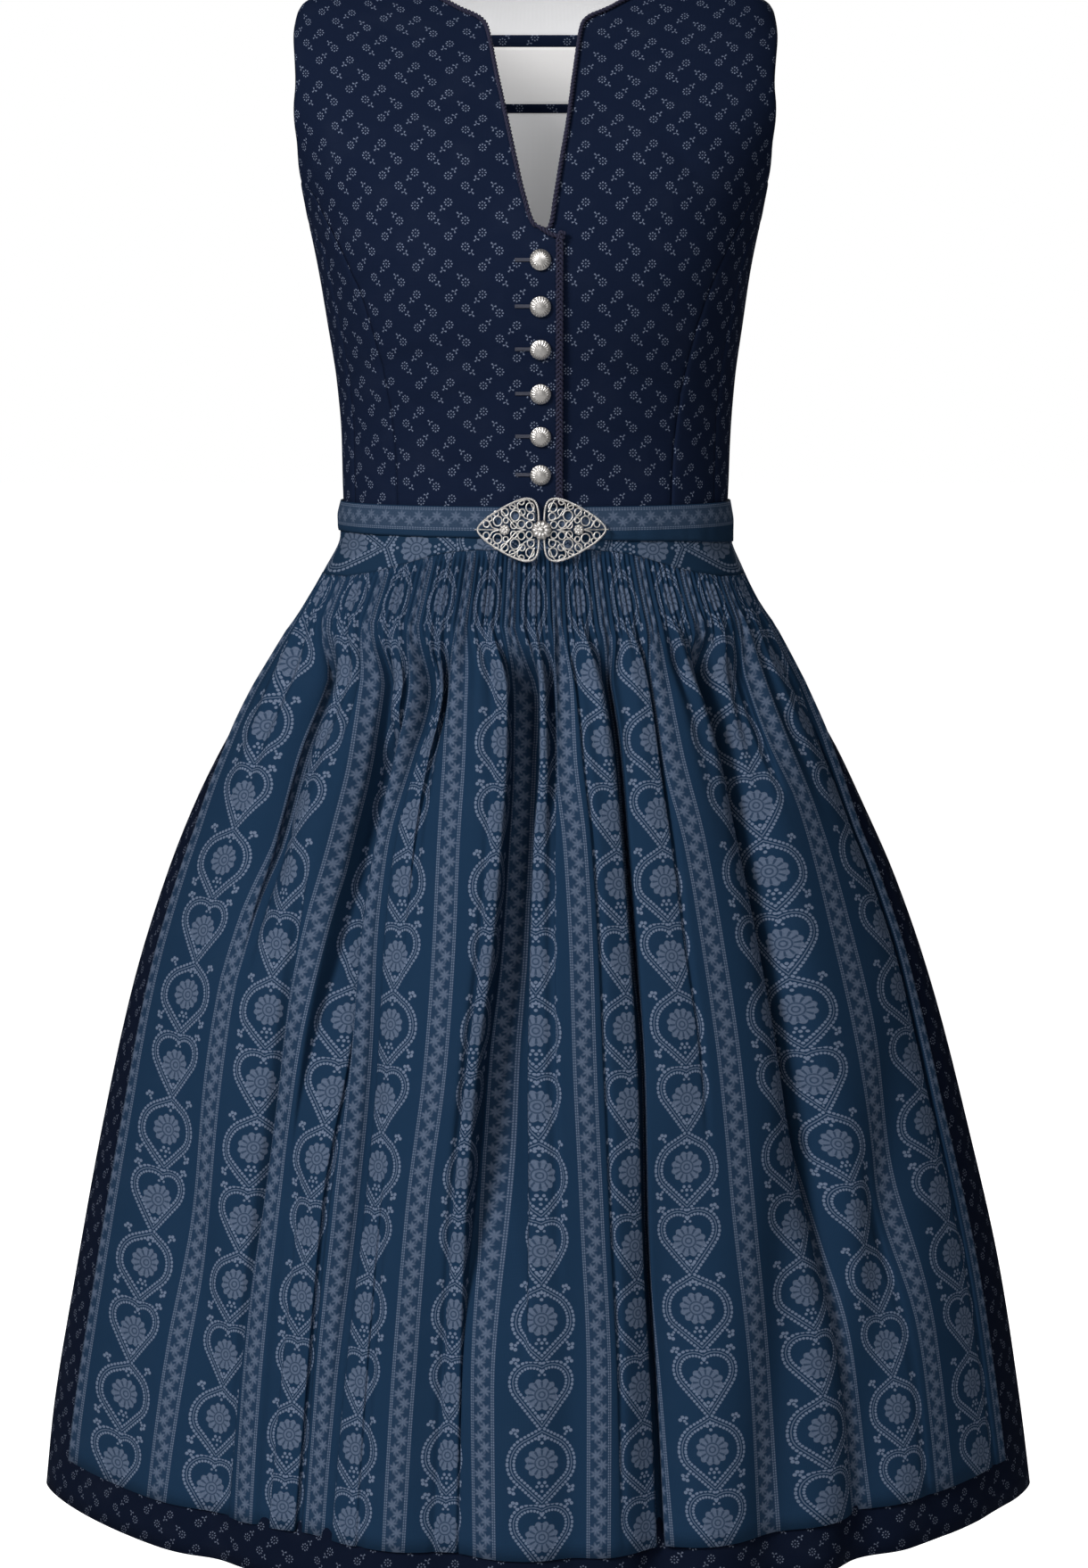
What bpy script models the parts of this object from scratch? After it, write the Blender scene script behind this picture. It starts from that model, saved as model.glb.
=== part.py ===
"""A sleeveless dirndl with its apron, hollow and standing as it is worn.

Metres, +Z up. The front faces -Y and the wearer's left is +X. The origin lies between
the two points where the shoulder seams meet the neck, and the hem hangs below it.
Every piece of cloth is a wall that follows one figure surface or lies on the piece below.
"""

import math
from collections import namedtuple

import bmesh
import bpy
import numpy as np
from mathutils import Matrix, Vector
from mathutils.bvhtree import BVHTree

# Sizes of the cloth
WALL = 0.0012
LINING_WALL = 0.0010
LINING_GAP = 0.0005
LABEL_GAP = 0.0003
SEAM = 0.0003
PLACKET_LIFT = WALL + 0.0007

# Heights
WAIST = -0.3450
HEM = -0.9703
APRON_HEM = -0.9400
GAUGING_END = -0.3950
TIE_TOP = -0.3237
YOKE_TOP = -0.3335

# Sections of the figure: half widths on the wearer's right and left, depths in front and
# behind, and the two powers of the outline |x/half|^across + |y/depth|^through = 1
Section = namedtuple("Section", "z right left front back across through")
FIGURE = [
    Section(0.0000, 0.0820, 0.0820, 0.012, 0.012, 2.00, 2.00),
    Section(-0.0080, 0.1070, 0.1070, 0.027, 0.036, 2.30, 2.30),
    Section(-0.0220, 0.1420, 0.1440, 0.043, 0.052, 2.80, 2.80),
    Section(-0.0350, 0.1480, 0.1495, 0.055, 0.061, 3.10, 3.10),
    Section(-0.0550, 0.1545, 0.1560, 0.070, 0.071, 3.30, 3.30),
    Section(-0.0800, 0.1570, 0.1580, 0.086, 0.082, 3.20, 3.20),
    Section(-0.1150, 0.1490, 0.1495, 0.107, 0.093, 2.90, 2.90),
    Section(-0.1500, 0.1400, 0.1400, 0.119, 0.097, 2.60, 2.60),
    Section(-0.1820, 0.1335, 0.1335, 0.123, 0.097, 2.50, 2.50),
    Section(-0.2150, 0.1283, 0.1290, 0.118, 0.092, 2.40, 2.40),
    Section(-0.2500, 0.1232, 0.1246, 0.106, 0.085, 2.30, 2.30),
    Section(-0.2850, 0.1207, 0.1223, 0.096, 0.079, 2.20, 2.20),
    Section(-0.3125, 0.1203, 0.1215, 0.090, 0.078, 2.20, 2.20),
    Section(-0.3450, 0.1195, 0.1205, 0.088, 0.078, 2.20, 2.20),
    Section(-0.3700, 0.1315, 0.1300, 0.094, 0.087, 2.10, 2.05),
    Section(-0.3950, 0.1465, 0.1430, 0.103, 0.098, 2.05, 1.85),
    Section(-0.4200, 0.1620, 0.1570, 0.111, 0.109, 2.00, 1.72),
    Section(-0.4480, 0.1795, 0.1725, 0.120, 0.120, 1.95, 1.60),
    Section(-0.4800, 0.1985, 0.1915, 0.130, 0.131, 1.90, 1.50),
    Section(-0.5160, 0.2166, 0.2089, 0.140, 0.141, 1.87, 1.43),
    Section(-0.5630, 0.2357, 0.2301, 0.151, 0.151, 1.85, 1.39),
    Section(-0.6330, 0.2582, 0.2549, 0.165, 0.164, 1.83, 1.36),
    Section(-0.7270, 0.2803, 0.2804, 0.178, 0.178, 1.80, 1.34),
    Section(-0.8230, 0.2993, 0.3033, 0.188, 0.188, 1.80, 1.33),
    Section(-0.9200, 0.3168, 0.3196, 0.197, 0.197, 1.80, 1.32),
    Section(-0.9703, 0.3227, 0.3266, 0.200, 0.200, 1.80, 1.32),
]

# Seams of the bodice, bottom to top: distance from the centre line at each height
Seam = namedtuple("Seam", "z princess side")
SEAMS = [
    Seam(-0.345, 0.0830, 0.1110),
    Seam(-0.333, 0.0831, 0.1110),
    Seam(-0.318, 0.0834, 0.1110),
    Seam(-0.290, 0.0843, 0.1110),
    Seam(-0.262, 0.0873, 0.1120),
    Seam(-0.235, 0.0925, 0.1145),
    Seam(-0.208, 0.1000, 0.1190),
    Seam(-0.185, 0.1090, 0.1235),
    Seam(-0.163, 0.1200, 0.1300),
    Seam(-0.150, 0.1270, 0.1290),
    Seam(-0.140, 0.1320, 0.1310),
]
BackSeam = namedtuple("BackSeam", "z back")
BACK_SEAM = [
    BackSeam(-0.345, 0.0400),
    BackSeam(-0.333, 0.0402),
    BackSeam(-0.318, 0.0406),
    BackSeam(-0.290, 0.0420),
    BackSeam(-0.262, 0.0455),
    BackSeam(-0.235, 0.0515),
    BackSeam(-0.208, 0.0600),
    BackSeam(-0.182, 0.0705),
    BackSeam(-0.160, 0.0820),
    BackSeam(-0.140, 0.0950),
    BackSeam(-0.122, 0.1100),
]

# Armhole: place round the figure and height. 1 is the side, 0 the centre front, 2 the centre back
Turn = namedtuple("Turn", "around z")
ARMHOLE_FRONT = [Turn(0.800, -0.130), Turn(0.735, -0.105), Turn(0.720, -0.080), Turn(0.770, -0.055),
                 Turn(0.880, -0.036), Turn(0.955, -0.027), Turn(1.0, -0.022)]
ARMHOLE_UNDER = [Turn(0.80, -0.130), Turn(0.86, -0.145), Turn(0.93, -0.153), Turn(1.00, -0.157),
                 Turn(1.07, -0.153), Turn(1.14, -0.145), Turn(1.20, -0.130), Turn(1.24, -0.118),
                 Turn(1.26, -0.105)]
ARMHOLE_BACK = [Turn(1.26, -0.105), Turn(1.275, -0.080), Turn(1.23, -0.055), Turn(1.12, -0.036),
                Turn(1.045, -0.027), Turn(1.0, -0.022)]
SIDE_SEAM_AT = 2

# Front edge: placket below the slit, then slit, corner and neckline, on each half
Edge = namedtuple("Edge", "x z")
SLIT_END = -0.1635
SLIT_RIGHT = [Edge(0.0020, -0.1605), Edge(-0.0050, -0.1430), Edge(-0.0100, -0.1220),
              Edge(-0.0148, -0.1000), Edge(-0.0205, -0.0740), Edge(-0.0288, -0.0390)]
SLIT_LEFT = [Edge(0.0080, -0.1608), Edge(0.0117, -0.1430), Edge(0.0152, -0.1220),
             Edge(0.0190, -0.1000), Edge(0.0224, -0.0740), Edge(0.0285, -0.0390)]
NECKLINE = [Edge(0.0440, -0.0300), Edge(0.0650, -0.0180), Edge(0.0820, 0.0)]
PLACKET_EDGE = 0.0168
UNDERLAP_EDGE = -0.0100
BACK_NECKLINE = [Turn(1.0, -0.022), Turn(1.0, -0.011), Turn(1.0, 0.0), Turn(1.14, -0.0030),
                 Turn(1.38, -0.0062), Turn(1.68, -0.0090), Turn(2.0, -0.0100)]

# Buttons down the placket
BUTTON_X = 0.0037
BUTTON_HEIGHTS = [-0.1796, -0.2056, -0.2299, -0.2559, -0.2812, -0.3042]
BUTTON_RADIUS = 0.0062

# Skirt and apron
SKIRT_LEVELS = [-0.3453, -0.3570, -0.3700, -0.3950, -0.4250, -0.4600, -0.5000, -0.5500, -0.6100, -0.6800,
                -0.7600, -0.8500, -0.9400, -0.9703]
APRON_COLUMNS = 54
SKIRT_SIDE_COLUMNS = 3
BACK_COLUMNS = 32
GAUGING_PLEATS = 99
APRON_PLEAT = 0.0011
BACK_PLEATS = 52
BACK_PLEATS_END = -0.3700
BACK_PLEATS_FROM = 1.13
BACK_PLEAT = 0.0013

# The apron's edge, as a share of the way from centre front to side, at each height
ApronEdge = namedtuple("ApronEdge", "z share")
APRON_EDGE = [ApronEdge(-0.3450, 0.985), ApronEdge(-0.4400, 0.985), ApronEdge(-0.4800, 0.930),
              ApronEdge(-0.5300, 0.905), ApronEdge(-0.6000, 0.905), ApronEdge(-0.7000, 0.893),
              ApronEdge(-0.9703, 0.893)]

# Main folds: x as a share of the half width at the top, middle and end of each valley
Fold = namedtuple("Fold", "top end share_top share_mid share_end width depth")
FRONT_FOLDS = [
    Fold(-0.400, -0.640, -0.920, -0.890, -0.900, 0.011, 0.009),
    Fold(-0.405, -0.640, -0.850, -0.735, -0.726, 0.011, 0.010),
    Fold(-0.405, -0.720, -0.590, -0.510, -0.560, 0.013, 0.013),
    Fold(-0.395, -0.600, -0.350, -0.350, -0.420, 0.012, 0.010),
    Fold(-0.390, -0.740, -0.070, -0.065, -0.120, 0.013, 0.015),
    Fold(-0.390, -0.560, 0.040, 0.068, 0.025, 0.009, 0.008),
    Fold(-0.390, -0.720, 0.300, 0.250, 0.285, 0.012, 0.012),
    Fold(-0.420, -0.680, 0.640, 0.705, 0.635, 0.012, 0.012),
    Fold(-0.640, -0.930, 0.630, 0.690, 0.840, 0.013, 0.009),
    Fold(-0.400, -0.520, 0.830, 0.780, 0.745, 0.010, 0.008),
    Fold(-0.700, -0.975, -0.640, -0.620, -0.640, 0.020, 0.005),
    Fold(-0.700, -0.975, -0.200, -0.190, -0.200, 0.022, 0.006),
    Fold(-0.700, -0.975, 0.400, 0.420, 0.430, 0.022, 0.006),
]
BACK_FOLDS = [
    Fold(-0.380, -0.700, -0.850, -0.800, -0.780, 0.013, 0.010),
    Fold(-0.380, -0.975, -0.520, -0.560, -0.580, 0.018, 0.011),
    Fold(-0.380, -0.760, -0.250, -0.280, -0.260, 0.014, 0.012),
    Fold(-0.380, -0.975, 0.020, -0.030, -0.010, 0.018, 0.013),
    Fold(-0.380, -0.720, 0.260, 0.290, 0.330, 0.014, 0.011),
    Fold(-0.380, -0.975, 0.560, 0.530, 0.550, 0.018, 0.011),
    Fold(-0.380, -0.740, 0.860, 0.810, 0.800, 0.013, 0.010),
]

# The yoke's lower edge: distance from the centre and height
YokeEdge = namedtuple("YokeEdge", "x z")
YOKE_EDGE = [YokeEdge(0.000, -0.3500), YokeEdge(0.036, -0.3503), YokeEdge(0.048, -0.3512),
             YokeEdge(0.058, -0.3530), YokeEdge(0.068, -0.3560), YokeEdge(0.090, -0.3640),
             YokeEdge(0.110, -0.3690), YokeEdge(0.140, -0.3710)]

YOKE_END = 1.10
YOKE_OFF = 0.0010
YOKE_COLUMNS = 32
YOKE_ROWS = (0.0, 0.3, 0.55, 0.78, 1.0)

# Ties: where each starts beside the clasp, and the lower edge by place round the figure
TIE_STARTS = {"right": 0.0012, "left": 0.0072}
TIE_COLUMNS = 32
TIE_ROWS = (0.0, 0.55, 1.0)
TIE_OVER_YOKE = YOKE_OFF + WALL + 0.0005
TIE_OVER_SKIRT = 0.0016
TIE_END_GAP = 0.0012
TIE_EDGE = [(-2.0, -0.3475), (-1.2, -0.3450), (-0.9, -0.3420), (0.0, -0.3425), (0.15, -0.3435),
            (0.55, -0.3460), (0.90, -0.3500), (1.2, -0.3490), (2.0, -0.3475)]

# Label, cords and plait
LABEL_WALL = 0.0006
LABEL_HALF = 0.042
LABEL_STEPS = 6
CORD_RADIUS = 0.0013
CORD_STEP = 0.0080
BRAID_HALF = 0.0022
BRAID_THICK = 0.0016
BRAID_TOP, BRAID_BOTTOM = -0.1672, -0.3180

# Button and rosette, as (radius, height) from the crown to the back
BUTTON_PROFILE = [(0.0, 0.0036), (0.45 * BUTTON_RADIUS, 0.0033), (0.80 * BUTTON_RADIUS, 0.0023),
                  (BUTTON_RADIUS, 0.0014), (0.92 * BUTTON_RADIUS, 0.0002), (0.0, 0.0)]
ROSETTE_PROFILE = [(0.0, 0.0030), (0.0028, 0.0027), (0.0050, 0.0016), (0.0056, 0.0004), (0.0050, 0.0),
                   (0.0, 0.0)]
TURNED_STEPS = 12

# How far off the figure a ray starts that finds the piece below
REACH = 0.02

# Clasp: centre, and the outline of one half from the gap round its tip
CLASP_X, CLASP_Z = 0.0042, -0.3373
CLASP_THICK = 0.0016
CLASP_GAP = 0.0014
CLASP_LEAN = 0.10
Lobe = namedtuple("Lobe", "out up")
CLASP_LEAF = [Lobe(0.0035, 0.0035), Lobe(0.0036, 0.0090), Lobe(0.0048, 0.0125), Lobe(0.0062, 0.0150),
              Lobe(0.0080, 0.0180), Lobe(0.0110, 0.0190), Lobe(0.0150, 0.0180), Lobe(0.0190, 0.0158),
              Lobe(0.0235, 0.0128), Lobe(0.0285, 0.0095), Lobe(0.0330, 0.0068), Lobe(0.0355, 0.0035),
              Lobe(0.0388, 0.0000)]
CLASP_MIDDLE = 0.0180
CLASP_OVER = TIE_OVER_YOKE + WALL + PLACKET_LIFT + CLASP_GAP
# Rings of one half, each as (size, height in plate thicknesses), from the back over the rim
CLASP_RINGS = [(1.0, 0.0), (1.0, 0.6), (0.93, 1.0), (0.80, 0.7)]
CLASP_CROWN = 0.8

PAINT = {
    "bodice": ((0.011, 0.020, 0.045), 0.85, 0.0),
    "skirt": ((0.008, 0.012, 0.030), 0.85, 0.0),
    "apron": ((0.026, 0.055, 0.125), 0.85, 0.0),
    "lining": ((0.560, 0.560, 0.570), 0.80, 0.0),
    "label": ((0.620, 0.600, 0.590), 0.85, 0.0),
    "braid": ((0.016, 0.014, 0.030), 0.80, 0.0),
    "silver": ((0.560, 0.530, 0.500), 0.38, 1.0),
}


def columns_of(table):
    """The table's columns as arrays, lowest height first."""
    rows = sorted(table, key=lambda row: row.z)
    return {name: np.array([getattr(row, name) for row in rows]) for name in rows[0]._fields}


FIGURE_COLUMNS = columns_of(FIGURE)


def slopes_of(heights, values):
    """Slopes that keep a cubic from swinging past its table: none at a peak or a hollow."""
    steps = np.diff(values) / np.diff(heights)
    slopes = np.zeros(len(values))
    for i in range(1, len(steps)):
        if steps[i - 1] * steps[i] > 0:
            slopes[i] = 2 * steps[i - 1] * steps[i] / (steps[i - 1] + steps[i])
    slopes[0], slopes[-1] = steps[0], steps[-1]
    return slopes


STEEPNESS = {name: slopes_of(FIGURE_COLUMNS["z"], values)
             for name, values in FIGURE_COLUMNS.items() if name != "z"}


def figure_value(name, z):
    """A smooth cubic through the figure's table."""
    heights, values, slopes = FIGURE_COLUMNS["z"], FIGURE_COLUMNS[name], STEEPNESS[name]
    z = min(max(z, heights[0]), heights[-1])
    i = min(max(int(np.searchsorted(heights, z)) - 1, 0), len(heights) - 2)
    span = heights[i + 1] - heights[i]
    t = (z - heights[i]) / span
    return ((1 + 2 * t) * (1 - t) ** 2 * values[i] + t * (1 - t) ** 2 * span * slopes[i]
            + t * t * (3 - 2 * t) * values[i + 1] - t * t * (1 - t) * span * slopes[i + 1])


QUARTERS = {}
TURNS = np.linspace(0.0, math.pi / 2, 121)


def quarter(z, side, face):
    """One quarter of the outline at a height: x, y and the share of its length, centre to side."""
    key = (round(z, 5), side, face)
    if key not in QUARTERS:
        across, through = figure_value("across", z), figure_value("through", z)
        x = figure_value(side, z) * np.sin(TURNS) ** (2 / across)
        y = figure_value(face, z) * np.cos(TURNS) ** (2 / through)
        y[-1] = 0.0
        run = np.concatenate([[0.0], np.cumsum(np.hypot(np.diff(x), np.diff(y)))])
        QUARTERS[key] = (x, y, run / run[-1], run[-1])
    return QUARTERS[key]


def figure(around, z):
    """The figure's point. around is 0 at the centre front, 1 at the left side, 2 at the centre back."""
    around = (around + 2.0) % 4.0 - 2.0
    side = "left" if around >= 0 else "right"
    share = abs(around)
    face = "front" if share <= 1 else "back"
    x, y, run, _ = quarter(z, side, face)
    share = share if share <= 1 else 2 - share
    px, py = np.interp(share, run, x), np.interp(share, run, y)
    return Vector((px if around >= 0 else -px, -py if face == "front" else py, z))


def outward(around, z):
    """The figure's unit normal, which bisects the shoulder ridge and the skirt's sides."""
    step = 0.004
    run = figure(around + 0.02, z) - figure(around - 0.02, z)
    rise = figure(around, min(z + step, 0.0)) - figure(around, z - step)
    return run.cross(rise).normalized()


def around_at(x, z, face="front"):
    """The place round the figure whose point has this x."""
    xs, _, run, _ = quarter(z, "left" if x >= 0 else "right", face)
    share = float(np.interp(abs(x), xs, run))
    share = share if face == "front" else 2 - share
    return share if x >= 0 else -share


def smooth(value):
    value = min(max(value, 0.0), 1.0)
    return value * value * (3 - 2 * value)


def placket_lift(x):
    """How far the right front stands out where it lies on the left front."""
    return PLACKET_LIFT * smooth((x + 0.031) / 0.018) * smooth((0.036 - x) / 0.016)


def below_slit(z):
    """Nought above the end of the slit and one below it."""
    return smooth((-0.150 - z) / 0.012)


def fold_share(fold, z):
    middle = (fold.top + fold.end) / 2
    return float(np.interp(-z, [-fold.top, -middle, -fold.end],
                           [fold.share_top, fold.share_mid, fold.share_end]))


def fold_depth(folds, around, z):
    """Depth of the valleys at this place, in metres inwards."""
    point = figure(around, z)
    depth = 0.0
    for fold in folds:
        if not fold.end < z < fold.top:
            continue
        half = figure_value("left" if fold_share(fold, z) > 0 else "right", z)
        distance = point.x - fold_share(fold, z) * half
        fade = smooth((fold.top - z) / 0.05) * smooth((z - fold.end) / 0.12 if fold.end > HEM else 1.0)
        depth += fold.depth * fade * math.exp(-((distance / fold.width) ** 2))
    return depth


def front_folds(around, z):
    return fold_depth(FRONT_FOLDS, around, z) if abs(around) <= 1 else 0.0


def back_folds(around, z):
    return fold_depth(BACK_FOLDS, around, z)


def paint(name):
    material = bpy.data.materials.get(name) or bpy.data.materials.new(name)
    colour, rough, metal = PAINT[name]
    material.use_nodes = True
    shader = material.node_tree.nodes["Principled BSDF"]
    shader.inputs["Base Color"].default_value = (*colour, 1.0)
    shader.inputs["Roughness"].default_value = rough
    shader.inputs["Metallic"].default_value = metal
    return material


def piece(name, bm, colour):
    """The finished mesh as an object of the garment's collection."""
    bmesh.ops.recalc_face_normals(bm, faces=bm.faces)
    mesh = bpy.data.meshes.new(name)
    bm.to_mesh(mesh)
    bm.free()
    mesh.materials.append(paint(colour))
    mesh.shade_smooth()
    mesh.set_sharp_from_angle(angle=math.radians(50))
    made = bpy.data.objects.new(name, mesh)
    GARMENT.objects.link(made)
    return made


def read(edge, share):
    """The place at a share of the edge's count of steps."""
    at = share * (len(edge) - 1)
    i = min(int(at), len(edge) - 2)
    return np.array(edge[i]) + (np.array(edge[i + 1]) - np.array(edge[i])) * (at - i)


def patch(bottom, top, start, end, s, t):
    """The place between four edges. Its rows run straight from start to end, except near the others."""
    low = read(bottom, s) - (1 - s) * np.array(bottom[0]) - s * np.array(bottom[-1])
    high = read(top, s) - (1 - s) * np.array(top[0]) - s * np.array(top[-1])
    return (1 - s) * read(start, t) + s * read(end, t) + low * (1 - t) ** 3 + high * t ** 3


def panel(name, edges, across, up, colour, lift=None, wall=WALL, inset=SEAM / 2):
    """A piece of cloth on the figure: a grid drawn over its patch, with a wall inwards."""
    bm = bmesh.new()
    bmesh.ops.create_grid(bm, x_segments=across, y_segments=up, size=1.0)
    bmesh.ops.triangulate(bm, faces=bm.faces, quad_method="FIXED")
    inner = bmesh.ops.extrude_face_region(bm, geom=bm.faces[:], use_keep_orig=True)["geom"]
    for vertex in inner:
        if isinstance(vertex, bmesh.types.BMVert):
            vertex.co.z = -1.0

    def surface(s, t):
        around, z = patch(*edges, s, t)
        return figure(around, z), outward(around, z), (lift(around, z) if lift else 0.0)

    for vertex in bm.verts:
        s, t = (vertex.co.x + 1) / 2, (vertex.co.y + 1) / 2
        point, normal, raised = surface(s, t)
        into = Vector()
        for near in ((0.5 / across, 0), (-0.5 / across, 0), (0, 0.5 / up), (0, -0.5 / up)):
            outside = not (-1e-6 <= s + near[0] <= 1 + 1e-6 and -1e-6 <= t + near[1] <= 1 + 1e-6)
            if outside:
                into += (surface(s - near[0], t - near[1])[0] - point).normalized() * inset
        depth = raised - (wall if vertex.co.z < -0.5 else 0.0)
        vertex.co = point + normal * depth + into
    return piece(name, bm, colour)


def stitch(bm, lower, upper, outside):
    """Faces between two rows of (share, vertex). Rows of one length share their diagonals."""
    i = j = 0
    while i < len(lower) - 1 or j < len(upper) - 1:
        step_lower = j == len(upper) - 1 or (
            i < len(lower) - 1 and lower[i + 1][0] <= upper[j + 1][0] + 1e-9)
        if step_lower:
            corners = [lower[i][1], lower[i + 1][1], upper[j][1]]
            i += 1
        else:
            corners = [lower[i][1], upper[j + 1][1], upper[j][1]]
            j += 1
        bm.faces.new(corners if outside else corners[::-1])


def lofted(name, outer, inner, colour):
    """A closed wall between outer and inner rows of (share, point), listed from the hem up."""
    bm = bmesh.new()
    rows = [[[(share, bm.verts.new(point)) for share, point in row] for row in face]
            for face in (outer, inner)]
    for face, outside in zip(rows, (True, False)):
        for lower, upper in zip(face, face[1:]):
            stitch(bm, lower, upper, outside)
    stitch(bm, rows[1][0], rows[0][0], True)
    stitch(bm, rows[0][-1], rows[1][-1], True)
    for end in (0, -1):
        outer_side = [(row[end][1].co.z, row[end][1]) for row in rows[0]]
        inner_side = [(row[end][1].co.z, row[end][1]) for row in rows[1]]
        stitch(bm, outer_side, inner_side, end == 0)
    return piece(name, bm, colour)


def seam_line(column, side):
    """A seam of the bodice as places round the figure, bottom to top."""
    face, table = ("back", BACK_SEAM) if column == "back" else ("front", SEAMS)
    return [Turn(around_at(side * getattr(row, column), row.z, face), row.z) for row in table]


def mirrored(turns, side):
    """Turns listed for the wearer's left, moved to the given side."""
    return [Turn(side * turn.around, turn.z) for turn in turns]


def waist_line(start, end, count):
    return [Turn(start + (end - start) * i / count, WAIST) for i in range(count + 1)]


def front_panel(name, side, slit, placket_x):
    """One centre front. side is 1 for the wearer's left and -1 for the right."""
    outer = seam_line("princess", side) + mirrored(ARMHOLE_FRONT, side)
    opening = [Edge(placket_x, row.z) for row in SEAMS if row.z < SLIT_END - 0.01]
    opening += [Edge(placket_x, SLIT_END)]
    opening += slit + [Edge(side * edge.x, edge.z) for edge in NECKLINE]
    inner = [Turn(around_at(edge.x, edge.z), edge.z) for edge in opening]
    start, end = (outer, inner) if side < 0 else (inner, outer)
    across = 8
    bottom = waist_line(start[0].around, end[0].around, across)
    top = [start[-1], end[-1]]

    def lift(around, z):
        return placket_lift(figure(around, z).x) * below_slit(z) if side < 0 else 0.0

    return panel(name, (bottom, top, start, end), across, len(outer) - 1, "bodice", lift)


def side_panels(side):
    """The front side panel and the panel under the arm, which share the side seam."""
    tag = "left" if side > 0 else "right"
    princess = seam_line("princess", side) + mirrored(ARMHOLE_UNDER[:1], side)
    under = mirrored(ARMHOLE_UNDER, side)
    arm_end = under[SIDE_SEAM_AT]
    side_seam = [turn for turn in seam_line("side", side) if turn.z < arm_end.z - 0.003] + [arm_end]
    back_seam = seam_line("back", side) + [under[-1]]
    rows = len(princess) - 1
    side_seam = spread(side_seam, rows)
    front = order(side, princess, side_seam)
    panel(f"bodice_side_{tag}", (waist_line(front[0][0].around, front[1][0].around, 3),
                                 order_row(side, under[:SIDE_SEAM_AT + 1]), *front), 3, rows, "bodice")
    back = order(side, side_seam, back_seam)
    lined(f"back_side_{tag}", (waist_line(back[0][0].around, back[1][0].around, 6),
                               order_row(side, under[SIDE_SEAM_AT:]), *back), 6, rows)


def order(side, near, far):
    return (near, far) if side > 0 else (far, near)


def order_row(side, row):
    return row if side > 0 else row[::-1]


def spread(line, count):
    """The line read again at equal steps of height."""
    heights = [turn.z for turn in line]
    places = [turn.around for turn in line]
    levels = np.linspace(heights[0], heights[-1], count + 1)
    return [Turn(float(np.interp(z, heights, places)), float(z)) for z in levels]


def lined(name, edges, across, up):
    """A back panel and the lining behind it, which is cut to the same shape."""
    panel(f"bodice_{name}", edges, across, up, "bodice")
    panel(f"lining_{name}", edges, across, up, "lining", lambda around, z: -WALL - LINING_GAP,
          LINING_WALL)


def back_centre():
    left = seam_line("back", 1) + ARMHOLE_BACK
    right = [Turn(4 - turn.around, turn.z) for turn in left]
    top = BACK_NECKLINE + [Turn(4 - turn.around, turn.z) for turn in BACK_NECKLINE[-2::-1]]
    across = len(top) - 1
    edges = (waist_line(left[0].around, right[0].around, across), top, left, right)
    lined("back_centre", edges, across, len(left) - 1)


def tree_of(made):
    return BVHTree.FromPolygons([vertex.co.copy() for vertex in made.data.vertices],
                                [face.vertices[:] for face in made.data.polygons])


def seat(tree, around, z, facing):
    """How far out from the figure the piece below lies here, seen from outside (1) or inside (-1)."""
    normal = outward(around, z)
    start = figure(around, z) + normal * REACH * facing
    distance = tree.ray_cast(start, -normal * facing, 2 * REACH)[3]
    return (REACH - (2 * REACH if distance is None else distance)) * facing


def label():
    """A bare label between two strips of print, on the inside of the lining."""
    lining = tree_of(bpy.data.objects["lining_back_centre"])
    for name, colour, low, high in (("label_strip_bottom", "bodice", -0.0790, -0.0735),
                                    ("label_panel", "label", -0.0732, -0.0393),
                                    ("label_strip_top", "bodice", -0.0390, -0.0320)):
        start = [Turn(around_at(LABEL_HALF, z, "back"), z) for z in (low, high)]
        end = [Turn(4 - turn.around, turn.z) for turn in start]
        width = end[0].around - start[0].around
        bottom = [Turn(start[0].around + width * i / LABEL_STEPS, low) for i in range(LABEL_STEPS + 1)]
        top = [Turn(turn.around, high) for turn in bottom]
        panel(name, (bottom, top, start, end), LABEL_STEPS, 2, colour,
              lambda around, z: seat(lining, around, z, -1) - LABEL_GAP, wall=LABEL_WALL, inset=0.0)


def on_front(x, z, out):
    """A point over the front at x and height z, this far out from the figure."""
    around = around_at(x, z)
    return figure(around, z) + outward(around, z) * out


def cord(name, points, radius):
    """A round cord through the points, as a closed tube."""
    curve = bpy.data.curves.new(name, "CURVE")
    curve.dimensions = "3D"
    curve.bevel_depth = radius
    curve.bevel_resolution = 1
    curve.use_fill_caps = True
    spline = curve.splines.new("POLY")
    spline.points.add(len(points) - 1)
    for place, point in zip(spline.points, points):
        place.co = (*point, 1.0)
    curve.materials.append(paint("braid"))
    made = bpy.data.objects.new(name, curve)
    GARMENT.objects.link(made)
    return made


def along(edges, spacing):
    """Points at even steps along a list of edges, in x and z."""
    xs, zs = [edge.x for edge in edges], [edge.z for edge in edges]
    run = np.concatenate([[0.0], np.cumsum(np.hypot(np.diff(xs), np.diff(zs)))])
    steps = np.linspace(0.0, run[-1], max(int(run[-1] / spacing), 2) + 1)
    return [Edge(float(np.interp(s, run, xs)), float(np.interp(s, run, zs))) for s in steps]


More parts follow.
